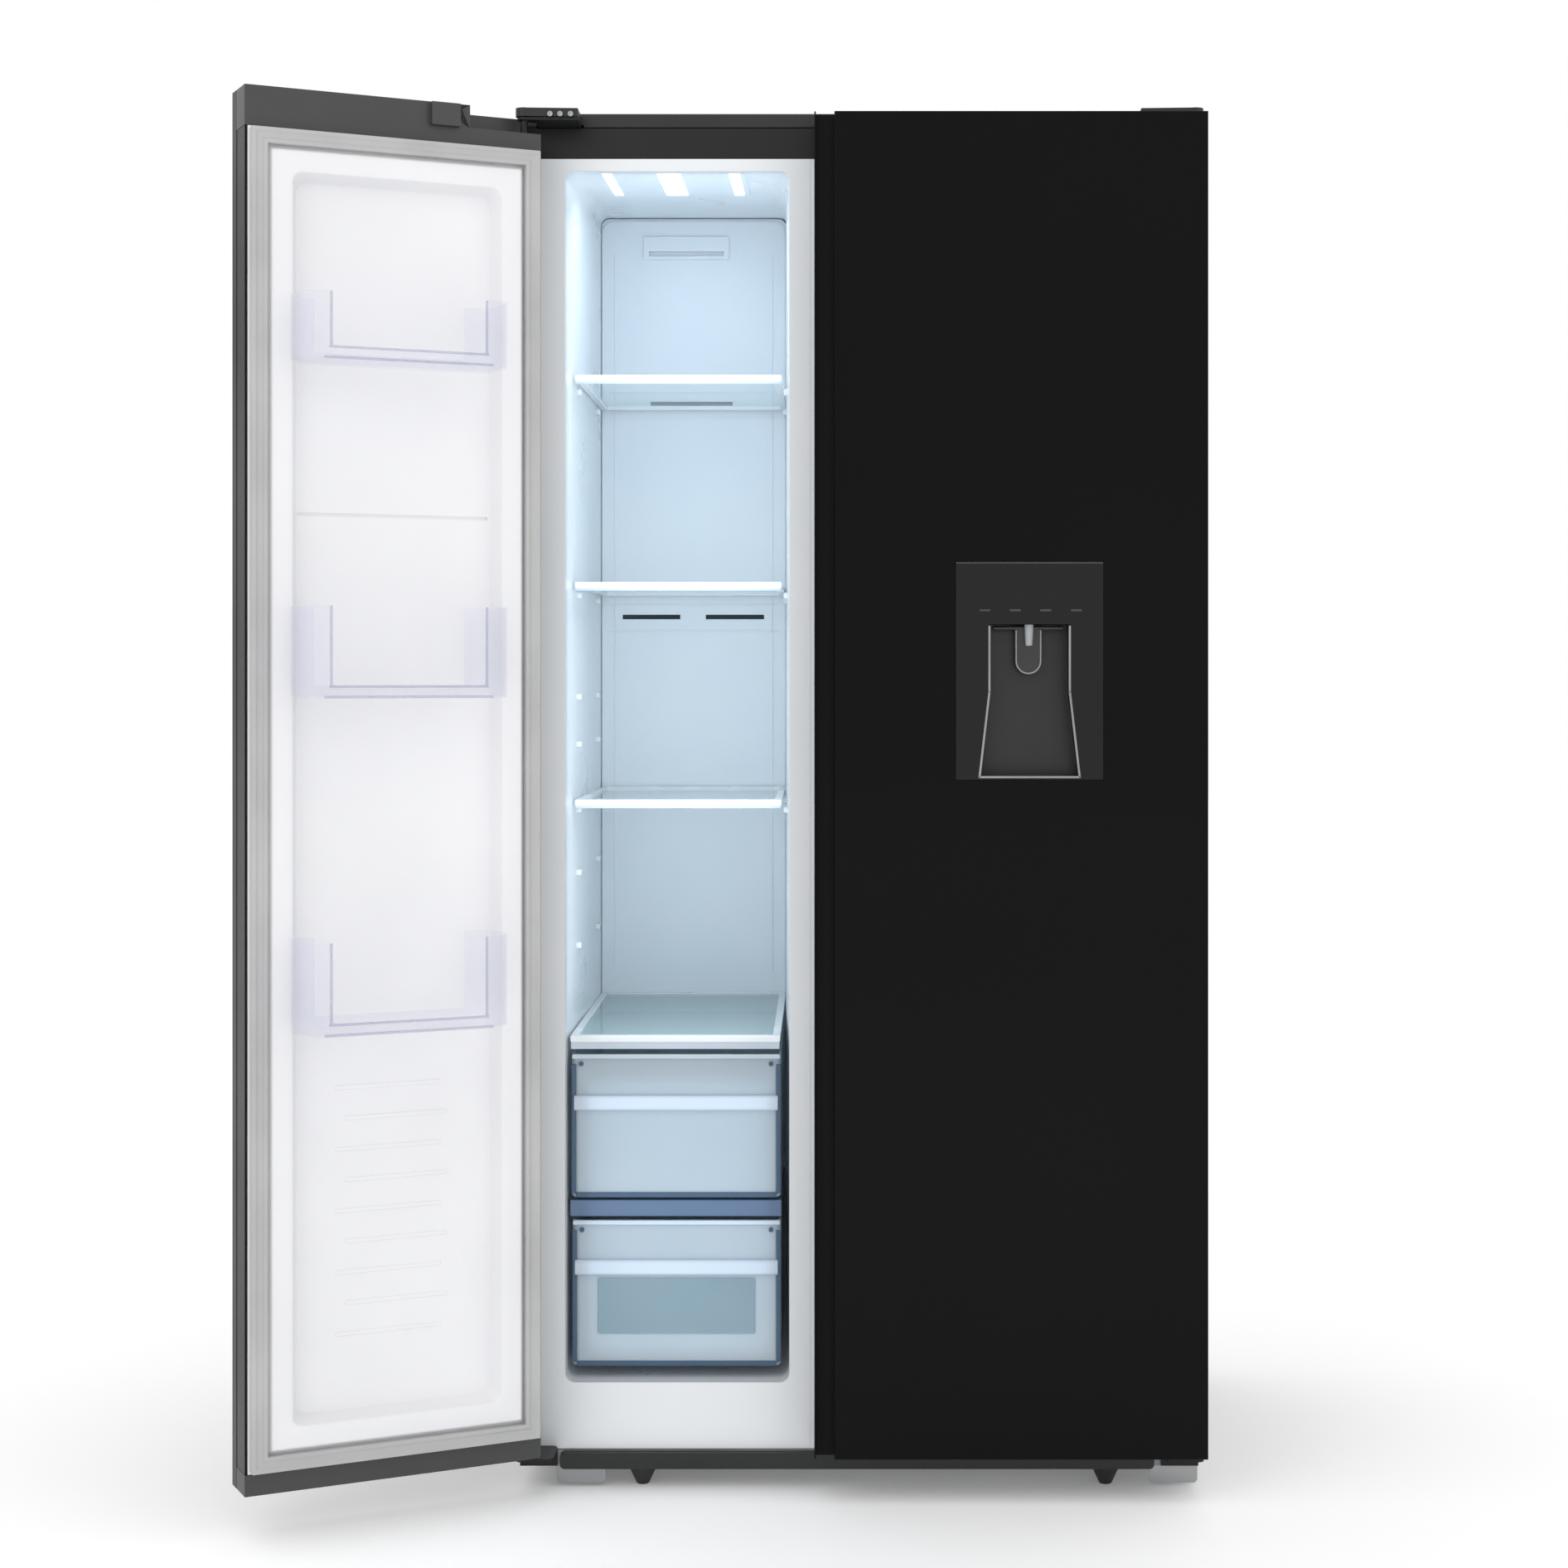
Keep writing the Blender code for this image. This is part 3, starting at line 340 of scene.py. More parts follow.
def block(name, low, high, stuff, edge=0.001, corner=0.0, along=2, steps=2):
    """A moulded block: its edges along one axis may be well rounded, and the rest are broken."""
    piece = begin(name, low, high)
    if corner:
        choose("EDGE", lambda p, d: abs(d[along]) > 0.9)
        bpy.ops.mesh.bevel(offset=corner, segments=5, affect="EDGES")
    return end(piece, stuff, edge=edge, steps=steps)


def joined(name, items):
    """Several blocks made one piece."""
    bpy.ops.object.select_all(action="DESELECT")
    for item in items:
        item.select_set(True)
    bpy.context.view_layer.objects.active = items[0]
    bpy.ops.object.join()
    items[0].name = name
    return items[0]


def pegs(name, left, right, heights, spare_heights, stuff):
    """Ledges on both walls of a compartment, under each height, and spare ones on its left wall."""
    made = []
    for height in heights + spare_heights:
        for depth in (0.240, 0.520):
            back = (depth - 0.078) / 0.562
            walls = ((left + 0.004 * back, 1), (right - 0.012 * back, -1))
            for wall, inward in walls[:1] if height in spare_heights else walls:
                ends = sorted((wall - 0.0005 * inward, wall + 0.0068 * inward))
                made.append(block("peg", at(ends[0], depth - 0.012, height - 0.0083),
                                  at(ends[1], depth + 0.012, height), stuff, 0.0022, steps=3))
    return joined(name, made)


shelf_nodes = [f"freezer_shelf_{n}" for n in (1, 2, 3)]
shelf_feet = [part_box(node)[0].z - 0.0004 for node in shelf_nodes]
freezer_pegs = pegs("freezer_shelf_pegs", *FREEZER_WALLS, shelf_feet, [1.040, 0.975, 0.800, 0.700],
                    white_plastic)
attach(freezer_pegs, "cabinet")
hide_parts("freezer_liner")
fridge_feet = [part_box(f"fridge_shelf_{n}")[0].z - 0.0004 for n in (1, 2, 3)]
fridge_pegs = pegs("fridge_shelf_pegs", *FRIDGE_WALLS, fridge_feet, [1.120, 0.680], white_plastic)
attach(fridge_pegs, "cabinet")
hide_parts("fridge_liner")

# The freezer's back wall: a white moulded duct cover. Cold air leaves it through a hooded slot under the
# ceiling and through thin slots below the first and second shelves; a fine line frames it.
cold_white = skin("white_duct_plastic", (0.78, 0.83, 0.88), (0.82, 0.86, 0.90), (0.28, 0.36), 50, 0.12,
                  0.0002)
duct_low, duct_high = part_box("freezer_duct")
duct = softened("freezer_duct", "freezer_back_wall", 0.0012, 3)
duct.data.materials.append(cold_white)
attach(duct, "cabinet")
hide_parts("freezer_duct")

plate_front = FRONT_Y + 0.6000
bands = []
for height in (1.473, 1.153):
    for offset in (-0.021, 0.018):
        bands.append(block("band", (duct_low.x + 0.012, plate_front - 0.0012, height + offset - 0.0012),
                           (duct_high.x - 0.012, plate_front + 0.001, height + offset + 0.0012),
                           cold_white, 0.0005))
for shift in (-0.118, 0.118):
    middle = (duct_low.x + duct_high.x) / 2 + shift
    bands.append(block("band", (middle - 0.0012, plate_front - 0.0012, 0.62),
                       (middle + 0.0012, plate_front + 0.001, 1.700), cold_white, 0.0005))
duct_lines = joined("freezer_duct_lines", bands)
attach(duct_lines, "cabinet")
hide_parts("freezer_duct")

border_low, border_high = at(-0.3818, 0.6034, 0.3480), at(-0.1032, 0.6046, 1.7520)
duct_border = block("freezer_duct_border", border_low, border_high, cold_white, 0.0004, 0.013, along=1)
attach(duct_border, "cabinet")
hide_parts("freezer_duct")

shadow_black = skin("slot_shadow", (0.02, 0.03, 0.04), (0.03, 0.04, 0.05), (0.8, 0.9), 60, 0.1)
# The air slots are drawn as thin dark strips laid on the wall: painted shade inside the slots.
slot_shade_strips = []
for low_x, high_x, height in ((-0.308, -0.184, 1.473), (-0.350, -0.263, 1.153), (-0.225, -0.137, 1.153)):
    slot_shade_strips.append(block("slot_shade_strip", at(low_x + 0.0005, 0.6012, height - 0.0032),
                       at(high_x - 0.0005, 0.6028, height + 0.0032),
                       shadow_black, 0.0004))
duct_slot_shade = joined("freezer_duct_slot_shade", slot_shade_strips)
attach(duct_slot_shade, "cabinet")
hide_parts("freezer_duct")

# The lamp: a frosted panel set in the freezer's sloping ceiling over a row of light emitting diodes.
# Bright windows in it throw the cold light down on the shelves.
glow = bpy.data.materials.new("lamp_glow")
glow.use_nodes = True
glow_nodes, glow_links = glow.node_tree.nodes, glow.node_tree.links
glow_place = glow_nodes.new("ShaderNodeTexCoord")
glow_wave = glow_nodes.new("ShaderNodeTexNoise")
glow_wave.inputs["Scale"].default_value = 30.0
glow_tone = glow_nodes.new("ShaderNodeValToRGB")
glow_tone.color_ramp.elements[0].color = (0.85, 0.94, 1.0, 1.0)
glow_tone.color_ramp.elements[1].color = (1.0, 1.0, 1.0, 1.0)
glow_links.new(glow_place.outputs["Object"], glow_wave.inputs["Vector"])
glow_links.new(glow_wave.outputs["Fac"], glow_tone.inputs["Fac"])
glow_links.new(glow_tone.outputs["Color"], glow_nodes["Principled BSDF"].inputs["Base Color"])
glow_links.new(glow_tone.outputs["Color"], glow_nodes["Principled BSDF"].inputs["Emission Color"])
glow_nodes["Principled BSDF"].inputs["Emission Strength"].default_value = 1.6

lamp_low, lamp_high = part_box("freezer_lamp")
ceiling_front = CEILING_FRONT + (lamp_low.y - FRONT_Y - 0.078) * CEILING_RISE
lens = begin("freezer_lamp_lens", (lamp_low.x, lamp_low.y, ceiling_front - 0.0012),
             (lamp_high.x, lamp_high.y, ceiling_front + 0.0006))
choose("VERT", lambda p, n: p.y > lamp_high.y - 0.001)
bpy.ops.transform.translate(value=(0, 0, (lamp_high.y - lamp_low.y) * CEILING_RISE))
end(lens, cold_white, edge=0.0004)
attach(lens, "cabinet")
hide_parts("freezer_lamp")

windows = []
WINDOW_FRONT, WINDOW_BACK = 0.097, 0.316
for middle, width in ((-0.333, 0.012), (-0.2513, 0.030), (-0.1645, 0.014)):
    front_z = CEILING_FRONT + (WINDOW_FRONT - 0.078) * CEILING_RISE
    piece = begin("window", at(middle - width / 2, WINDOW_FRONT, front_z - 0.0022),
                  at(middle + width / 2, WINDOW_BACK, front_z - 0.0008))
    choose("VERT", lambda p, n: p.y > FRONT_Y + 0.2)
    bpy.ops.transform.translate(value=(0, 0, (WINDOW_BACK - WINDOW_FRONT) * CEILING_RISE))
    windows.append(end(piece, glow, edge=0.0004))
lamp_windows = joined("freezer_lamp_windows", windows)
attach(lamp_windows, "cabinet")
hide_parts("freezer_lamp")

# The shelves: tempered glass plates held in white moulded frames, with a deep front trim that stops spills.
# The glass drops in from above and rests on the frame's inner ledge.
trim_white = skin("white_shelf_trim", (0.84, 0.88, 0.91), (0.88, 0.91, 0.93), (0.22, 0.30), 60, 0.1, 0.0002)
shelf_glass = skin("tempered_shelf_glass", (0.62, 0.82, 0.84), (0.68, 0.86, 0.88), (0.04, 0.07), 20, 0.03,
                   0.0002,
                   Alpha=0.26)
cover_glass = skin("drawer_cover_glass", (0.62, 0.82, 0.84), (0.68, 0.86, 0.88), (0.04, 0.07), 20, 0.03,
                   0.0002,
                   Alpha=0.55)
rim_blue = skin("frosted_drawer_rim", (0.60, 0.70, 0.80), (0.67, 0.76, 0.85), (0.18, 0.26), 40, 0.08, 0.0002,
                Alpha=0.85)


def shelf(node, body, glass):
    """A glass plate and the frame round it. Its frosted lip fills what is left below the front trim."""
    low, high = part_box(node)
    side, front, back, deep, trim = 0.010, 0.014, 0.008, 0.0065, 0.0088
    frame_piece = begin(node + "_frame", (low.x, low.y, high.z - deep), high)
    choose("FACE", lambda p, n: n.z > 0.9 or n.z < -0.9)
    bpy.ops.mesh.inset(thickness=side, depth=0.0)
    choose("FACE", lambda p, n: abs(n.z) > 0.9 and low.x + 0.02 < p.x < high.x - 0.02
           and low.y + 0.03 < p.y < high.y - 0.03)
    bpy.ops.mesh.delete(type="FACE")
    shape = bmesh.from_edit_mesh(frame_piece.data)
    for edge in shape.edges:
        edge.select_set(edge.is_boundary)
    bmesh.update_edit_mesh(frame_piece.data)
    bpy.ops.mesh.bridge_edge_loops()
    choose("VERT", lambda p, n: low.y + 0.001 < p.y < low.y + 0.05)
    bpy.ops.transform.translate(value=(0, front - side, 0))
    choose("FACE", lambda p, n: n.z < -0.9 and p.y < low.y + front)
    draw_out(z=deep - trim)
    end(frame_piece, trim_white, edge=0.0011, steps=3)
    plate = block(node + "_glass", (low.x + side - 0.001, low.y + front - 0.001, high.z - 0.0050),
                  (high.x - side + 0.001, high.y - back + 0.001, high.z - 0.0012), glass, 0.0004)
    lip = block(node + "_lip", (low.x + 0.001, low.y + 0.0012, low.z + 0.0002),
                (high.x - 0.001, low.y + 0.0040, high.z - trim + 0.0006),
                rim_blue, 0.0009, steps=2)
    for piece, finish_slot in ((frame_piece, "white_liner"), (plate, "shelf_glass"), (lip, "clear_blue")):
        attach(piece, body)
        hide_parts(node)


for number in (1, 2, 3):
    shelf(f"freezer_shelf_{number}", "cabinet", shelf_glass)
shelf("freezer_shelf_4", "cabinet", cover_glass)
for number in (1, 2):
    shelf(f"fridge_shelf_{number}", "cabinet", shelf_glass)
shelf("fridge_shelf_3", "cabinet", cover_glass)

# The drawers: one-piece mouldings of clear blue-tinted plastic, open at the top, with thick rims and a ridge
# across the front to pull them by. Thin navy strips down their sides and along their foot are painted shade
# for the gaps round each drawer.
clear_blue = skin("clear_blue_plastic", (0.56, 0.66, 0.74), (0.64, 0.73, 0.80), (0.10, 0.16), 30, 0.06,
                  0.0003,
                  Alpha=0.56)
window_blue = skin("smoked_window_blue", (0.22, 0.34, 0.40), (0.28, 0.40, 0.46), (0.12, 0.18), 40, 0.08,
                   0.0002,
                   Alpha=0.55)
# Navy: the studs' own colour, and painted shade for the strips at the drawers' side and bottom gaps.
navy_stud_and_gap_shade = skin("navy_drawer_studs_and_gap_shade", (0.035, 0.080, 0.140), (0.050, 0.100, 0.170), (0.15, 0.22), 40, 0.08,
                 0.0002)


def drawer(node, body, ridge_height, window=0.0):
    """A drawer's tray, rim, ridge, navy studs, and dark strips of painted shade at its sides and foot. A
    window, if it has one, hangs below the ridge.
    """
    low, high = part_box(node)
    front = low.y + 0.007
    wall = 0.0028
    tray = begin(node + "_tray", (low.x, front, low.z), high)
    choose("EDGE", lambda p, d: abs(d.z) > 0.9)
    bpy.ops.mesh.bevel(offset=0.010, segments=5, affect="EDGES")
    choose("FACE", lambda p, n: n.z > 0.9)
    bpy.ops.mesh.inset(thickness=wall, depth=0.0)
    draw_out(z=-(high.z - low.z - wall))
    choose("EDGE", lambda p, d: abs(d.z) < 0.5 and p.z < low.z + wall + 0.0005)
    bpy.ops.mesh.bevel(offset=0.004, segments=3, affect="EDGES")
    end(tray, clear_blue)
    lip = begin(node + "_rim", (low.x + 0.0012, front - 0.0035, high.z - 0.0058),
                (high.x - 0.0012, front + 0.0005, high.z))
    choose("EDGE", lambda p, d: abs(d.y) > 0.9 and p.z > high.z - 0.001)
    bpy.ops.mesh.bevel(offset=0.0025, segments=4, affect="EDGES")
    end(lip, rim_blue, edge=0.0012, steps=3)
    ridge = begin(node + "_ridge", (low.x + 0.004, low.y, ridge_height - 0.010),
                  (high.x - 0.004, front + 0.0005, ridge_height + 0.010))
    choose("EDGE", lambda p, d: abs(d.x) > 0.9 and p.y < low.y + 0.001)
    bpy.ops.mesh.bevel(offset=0.005, segments=4, affect="EDGES")
    end(ridge, rim_blue, edge=0.001, steps=2)
    # Thin navy strips on the front at both sides and along the foot: painted shade for the gaps round the
    # drawer.
    gap_shade_strips = []
    for x in (low.x + 0.0003, high.x - 0.0063):
        gap_shade_strips.append(block("gap_shade_strip", (x, front - 0.0022, low.z + 0.006),
                             (x + 0.006, front + 0.0005, high.z - 0.013),
                             navy_stud_and_gap_shade, 0.001, steps=2))
    gap_shade_strips.append(block("gap_shade_strip", (low.x + 0.006, front - 0.0018, low.z + 0.0005),
                         (high.x - 0.006, front + 0.0005, low.z + 0.0075),
                         navy_stud_and_gap_shade, 0.001, steps=2))
    studs = []
    for x in (low.x + 0.013, high.x - 0.013):
        bpy.ops.object.select_all(action="DESELECT")
        bpy.ops.mesh.primitive_cylinder_add(vertices=20, radius=0.0032, depth=0.002,
                                            location=(x, front - 0.0012, high.z - 0.0125),
                                            rotation=(math.pi / 2, 0, 0))
        stud = bpy.context.object
        bpy.ops.object.transform_apply(location=True, rotation=True, scale=True)
        bpy.ops.object.mode_set(mode="EDIT")
        choose("FACE", lambda p, n: n.y < -0.9)
        bpy.ops.mesh.inset(thickness=0.0012, depth=-0.0006)
        studs.append(end(stud, navy_stud_and_gap_shade))
    dark = joined(node + "_gap_shade_and_studs", gap_shade_strips + studs)
    if window:
        pane = block(node + "_window", (low.x + 0.034, front - 0.0012, ridge_height - 0.014 - window),
                     (high.x - 0.034, front + 0.0002, ridge_height - 0.014),
                     window_blue, 0.0005, 0.003, along=1)
        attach(pane, body)
        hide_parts(node)
    for piece, finish_slot in ((tray, "clear_blue"), (lip, "clear_blue"), (ridge, "clear_blue"),
                               (dark, "navy_plastic")):
        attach(piece, body)
        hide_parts(node)


drawer("freezer_drawer_upper", "upper_drawer", 0.5010)
drawer("freezer_drawer_lower", "lower_drawer", 0.2840, 0.074)
drawer("fridge_crisper", "cabinet", 0.3850)

# The divider between the drawers: a blue moulded bar with a thin plate behind it. The lower drawer slides
# under the plate. Its dark navy is partly the bar's own blue and partly painted shade of the gap between the
# drawers.
divider = softened("drawer_divider", "drawer_divider_bar", 0.0015, 3)
# Dark navy: partly the bar's own blue, partly painted shade of the gap between the drawers.
divider_blue_and_gap_shade = skin("blue_divider_and_gap_shade", (0.090, 0.150, 0.260), (0.120, 0.190, 0.300), (0.20, 0.30), 40,
                    0.08, 0.0002)
divider.data.materials.append(divider_blue_and_gap_shade)
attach(divider, "cabinet")
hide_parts("drawer_divider")

# The door fronts: 6 mm black glass bonded to a folded steel pan. The glass has a polished pencil edge,
# and the pan's dark side shows at the hinge side of each door.
black_glass = skin("black_door_glass", (0.0018, 0.0018, 0.0019), (0.0028, 0.0028, 0.0029), (0.05, 0.09), 12,
                   0.02, 0.0002, Specular_IOR_Level=0.10)
pan_steel = skin("grey_door_pan", (0.050, 0.050, 0.052), (0.065, 0.065, 0.067), (0.30, 0.38), 60, 0.15,
                 Metallic=0.4)
FREEZER_PIN = at(-0.4345, 0.032, 0)
OPEN_ANGLE = math.radians(-154)


def swing(piece):
    """Turn a piece made on the shut freezer door to where the open door is."""
    piece.data.transform(Matrix.Translation(FREEZER_PIN) @ Matrix.Rotation(OPEN_ANGLE, 4, "Z")
                         @ Matrix.Translation(-FREEZER_PIN))
    return piece


def on_door(door, start, stop, near, far, low, high):
    """Two corners on a shut door, across from its meeting edge to its hinge side."""
    edge, side = {"freezer_door": (-0.0615, -1), "fridge_door": (-0.0585, 1)}[door]
    across = sorted((edge + side * start, edge + side * stop))
    return at(across[0], near, low), at(across[1], far, high)


WIDTH = {"freezer_door": 0.386, "fridge_door": 0.506}
DOOR_LOW, DOOR_HIGH = 0.058, 1.790
DISPENSER_LOW, DISPENSER_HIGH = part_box("dispenser_bezel")
for door in ("freezer_door", "fridge_door"):
    low, high = on_door(door, 0.0260, WIDTH[door], 0.0, 0.0058, DOOR_LOW, DOOR_HIGH)
    glass = begin(door + "_glass", low, high)
    choose("EDGE", lambda p, d: p.y < low.y + 0.001)
    bpy.ops.mesh.bevel(offset=0.0012, segments=3, affect="EDGES")
    if door == "fridge_door":
        for co, normal in (((DISPENSER_LOW.x - 0.0004, 0, 0), (1, 0, 0)),
                           ((DISPENSER_HIGH.x + 0.0004, 0, 0), (1, 0, 0)),
                           ((0, 0, DISPENSER_LOW.z - 0.0004), (0, 0, 1)),
                           ((0, 0, DISPENSER_HIGH.z + 0.0004), (0, 0, 1))):
            bpy.ops.mesh.select_all(action="SELECT")
            bpy.ops.mesh.bisect(plane_co=co, plane_no=normal)
        choose("FACE", lambda p, n: abs(n.y) > 0.9 and DISPENSER_LOW.x < p.x < DISPENSER_HIGH.x
               and DISPENSER_LOW.z < p.z < DISPENSER_HIGH.z)
        bpy.ops.mesh.delete(type="FACE")
        shape = bmesh.from_edit_mesh(glass.data)
        for rim_edge in shape.edges:
            rim_edge.select_set(rim_edge.is_boundary)
        bmesh.update_edit_mesh(glass.data)
        bpy.ops.mesh.bridge_edge_loops()
    end(glass, black_glass)
    low, high = on_door(door, WIDTH[door] - 0.0014, WIDTH[door] - 0.0001, 0.0060, 0.0600, DOOR_LOW, 1.7600)
    pan = begin(door + "_pan", low, high)
    choose("EDGE", lambda p, d: abs(d.z) > 0.9)
    bpy.ops.mesh.bevel(offset=0.0005, segments=2, affect="EDGES")
    end(pan, pan_steel)
    for piece, finish_slot in ((glass, "black_glass"), (pan, "grey_steel")):
        if door == "freezer_door":
            swing(piece)
        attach(piece, door)
        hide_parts(door + "_panel")

# The door linings: white plastic sheet drawn with a low dyke all round, inside the seal, and a sunk middle.
# A groove and a field of short ribs stiffen the middle.
DYKE = ((0.0225, 0.0), (0.0055, 0.009), (0.0255, 0.0), (0.0095, -0.024))
GROOVE = (1.2635, 1.2675)
door_white = skin("white_door_lining", (0.80, 0.80, 0.82), (0.84, 0.84, 0.86), (0.30, 0.38), 50, 0.12,
                  0.0002)
for door in ("freezer_door", "fridge_door"):
    low, high = on_door(door, 0.004, WIDTH[door] - 0.004, 0.0635, 0.0650, 0.0855, 1.7395)
    lining = begin(door + "_lining", low, high)
    choose("FACE", lambda p, n: n.y < 0.9)
    bpy.ops.mesh.delete(type="FACE")
    for inset, rise in DYKE:
        choose("FACE", lambda p, n: abs(p.z - (low.z + high.z) / 2) < 0.01
               and abs(p.x - (low.x + high.x) / 2) < 0.01)
        bpy.ops.mesh.inset(thickness=inset, depth=rise)
    choose("EDGE", lambda p, d: abs(d.y) > 0.3 and abs(d.x) > 0.1 and p.y < low.y)
    bpy.ops.mesh.bevel(offset=0.012, segments=5, affect="EDGES")
    choose("EDGE", lambda p, d: False)
    shape = bmesh.from_edit_mesh(lining.data)
    for line in shape.edges:
        line.select_set(line.calc_face_angle(0.0) > 0.1)
    bmesh.update_edit_mesh(lining.data)
    bpy.ops.mesh.bevel(offset=0.0022, segments=3, affect="EDGES")
    for height in GROOVE:
        bpy.ops.mesh.select_all(action="SELECT")
        bpy.ops.mesh.bisect(plane_co=(0, 0, height), plane_no=(0, 0, 1))
    choose("FACE", lambda p, n: n.y > 0.99 and GROOVE[0] < p.z < GROOVE[1] and p.y < low.y - 0.005)
    draw_out(y=-0.0020)
    bpy.ops.mesh.select_all(action="SELECT")
    bpy.ops.mesh.normals_make_consistent(inside=False)
    shape = bmesh.from_edit_mesh(lining.data)
    if max(shape.faces, key=lambda f: f.calc_area()).normal.y < 0:
        bpy.ops.mesh.flip_normals()
    bpy.ops.object.mode_set(mode="OBJECT")
    sheet = lining.modifiers.new("wall", "SOLIDIFY")
    sheet.thickness = 0.0010
    sheet.offset = -1.0
    bpy.ops.object.modifier_apply(modifier="wall")
    bpy.ops.object.shade_smooth_by_angle(angle=math.radians(40))
    lining.data.materials.append(door_white)
    ribs = []
    for number in range(9):
        height = 0.55 - number * 0.0385
        span = (0.130, 0.262) if number % 2 else (0.118, 0.254)
        corners = on_door(door, *span, 0.0495, 0.0512, height - 0.0025, height + 0.0025)
        ribs.append(block("rib", *corners, door_white, 0.0011, steps=3))
    stiffeners = joined(door + "_ribs", ribs)
    for piece in (lining, stiffeners):
        if door == "freezer_door":
            swing(piece)
        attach(piece, door)
        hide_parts(door + "_liner")

# The seals: soft grey extrusions with a magnet inside, welded into a ring and pressed into the lining.
# Two lips with a channel between them face the cabinet.
seal_grey = skin("grey_seal_rubber", (0.43, 0.43, 0.43), (0.49, 0.49, 0.49), (0.55, 0.68), 90, 0.2, 0.0002)
for door in ("freezer_door", "fridge_door"):
    low, high = on_door(door, 0.0065, WIDTH[door] - 0.0065, 0.0653, 0.0777, 0.0875, 1.7375)
    seal = begin(door + "_seal", low, high)
    choose("FACE", lambda p, n: abs(n.y) > 0.9)
    bpy.ops.mesh.inset(thickness=0.0197, depth=0.0)
    bpy.ops.mesh.delete(type="FACE")
    shape = bmesh.from_edit_mesh(seal.data)
    for rim_edge in shape.edges:
        rim_edge.select_set(rim_edge.is_boundary)
    bmesh.update_edit_mesh(seal.data)
    bpy.ops.mesh.bridge_edge_loops()
    choose("FACE", lambda p, n: n.y > 0.9)
    bpy.ops.mesh.inset(thickness=0.0050, depth=0.0)
    bpy.ops.mesh.inset(thickness=0.0015, depth=-0.0018)
    end(seal, seal_grey, edge=0.0012, steps=2)
    if door == "freezer_door":
        swing(seal)
    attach(seal, door)
    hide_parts(door + "_gasket")

# The door caps: dark grey mouldings that close the top and bottom of each door. The upper one is stepped
# down round the hinge, and a small block beside the step stops the door.
cap_grey = skin("dark_grey_moulding", (0.040, 0.040, 0.041), (0.050, 0.050, 0.051), (0.40, 0.52), 80, 0.4,
                0.0003)
for door in ("freezer_door", "fridge_door"):
    for part in ("top_cap", "bottom_cap"):
        cap = softened(f"{door}_{part}", f"{door}_{part}_moulding", 0.0010, 2)
        cap.data.materials.append(cap_grey)
        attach(cap, door)
        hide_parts(f"{door}_{part}")

# The grips: dark channels of extruded aluminium down the meeting edge of each door. They are anodised
# nearly black, with their square edges just broken.
grip_metal = skin("dark_brushed_aluminium", (0.0022, 0.0022, 0.0024), (0.0045, 0.0045, 0.0048),
                  (0.28, 0.42), 30, 0.2, Metallic=0.1, Specular_IOR_Level=0.12)
for door in ("freezer_door", "fridge_door"):
    grip = softened(door + "_grip", door + "_grip_channel", 0.0005, 2)
    grip.data.materials.append(grip_metal)
    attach(grip, door)
    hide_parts(door + "_grip")

# The door bins: clear mouldings with a faint lavender tint. Tall rounded corners hold packets in, and the
# front between them is only a low bar. They stand against the lining's dyke.
lavender = skin("clear_lavender_plastic", (0.60, 0.62, 0.78), (0.66, 0.68, 0.82), (0.08, 0.14), 30, 0.05,
                0.0003,
                Alpha=0.14)
lavender_rim = skin("lavender_rim", (0.44, 0.45, 0.60), (0.52, 0.53, 0.66), (0.10, 0.16), 30, 0.05, 0.0003,
                    Alpha=0.40)
BIN_BACK, BIN_FRONT, PILLAR, BAR = 0.0745, 0.160, 0.036, 0.016
BIN_EDGE, FREEZER_BIN_END, FRIDGE_BIN_END = 0.048, 0.314, 0.420
FREEZER_BINS = ((1.448, 0.082), (1.037, 0.113), (0.628, 0.114))
FRIDGE_BINS = ((0.660, 0.113), (0.240, 0.113))


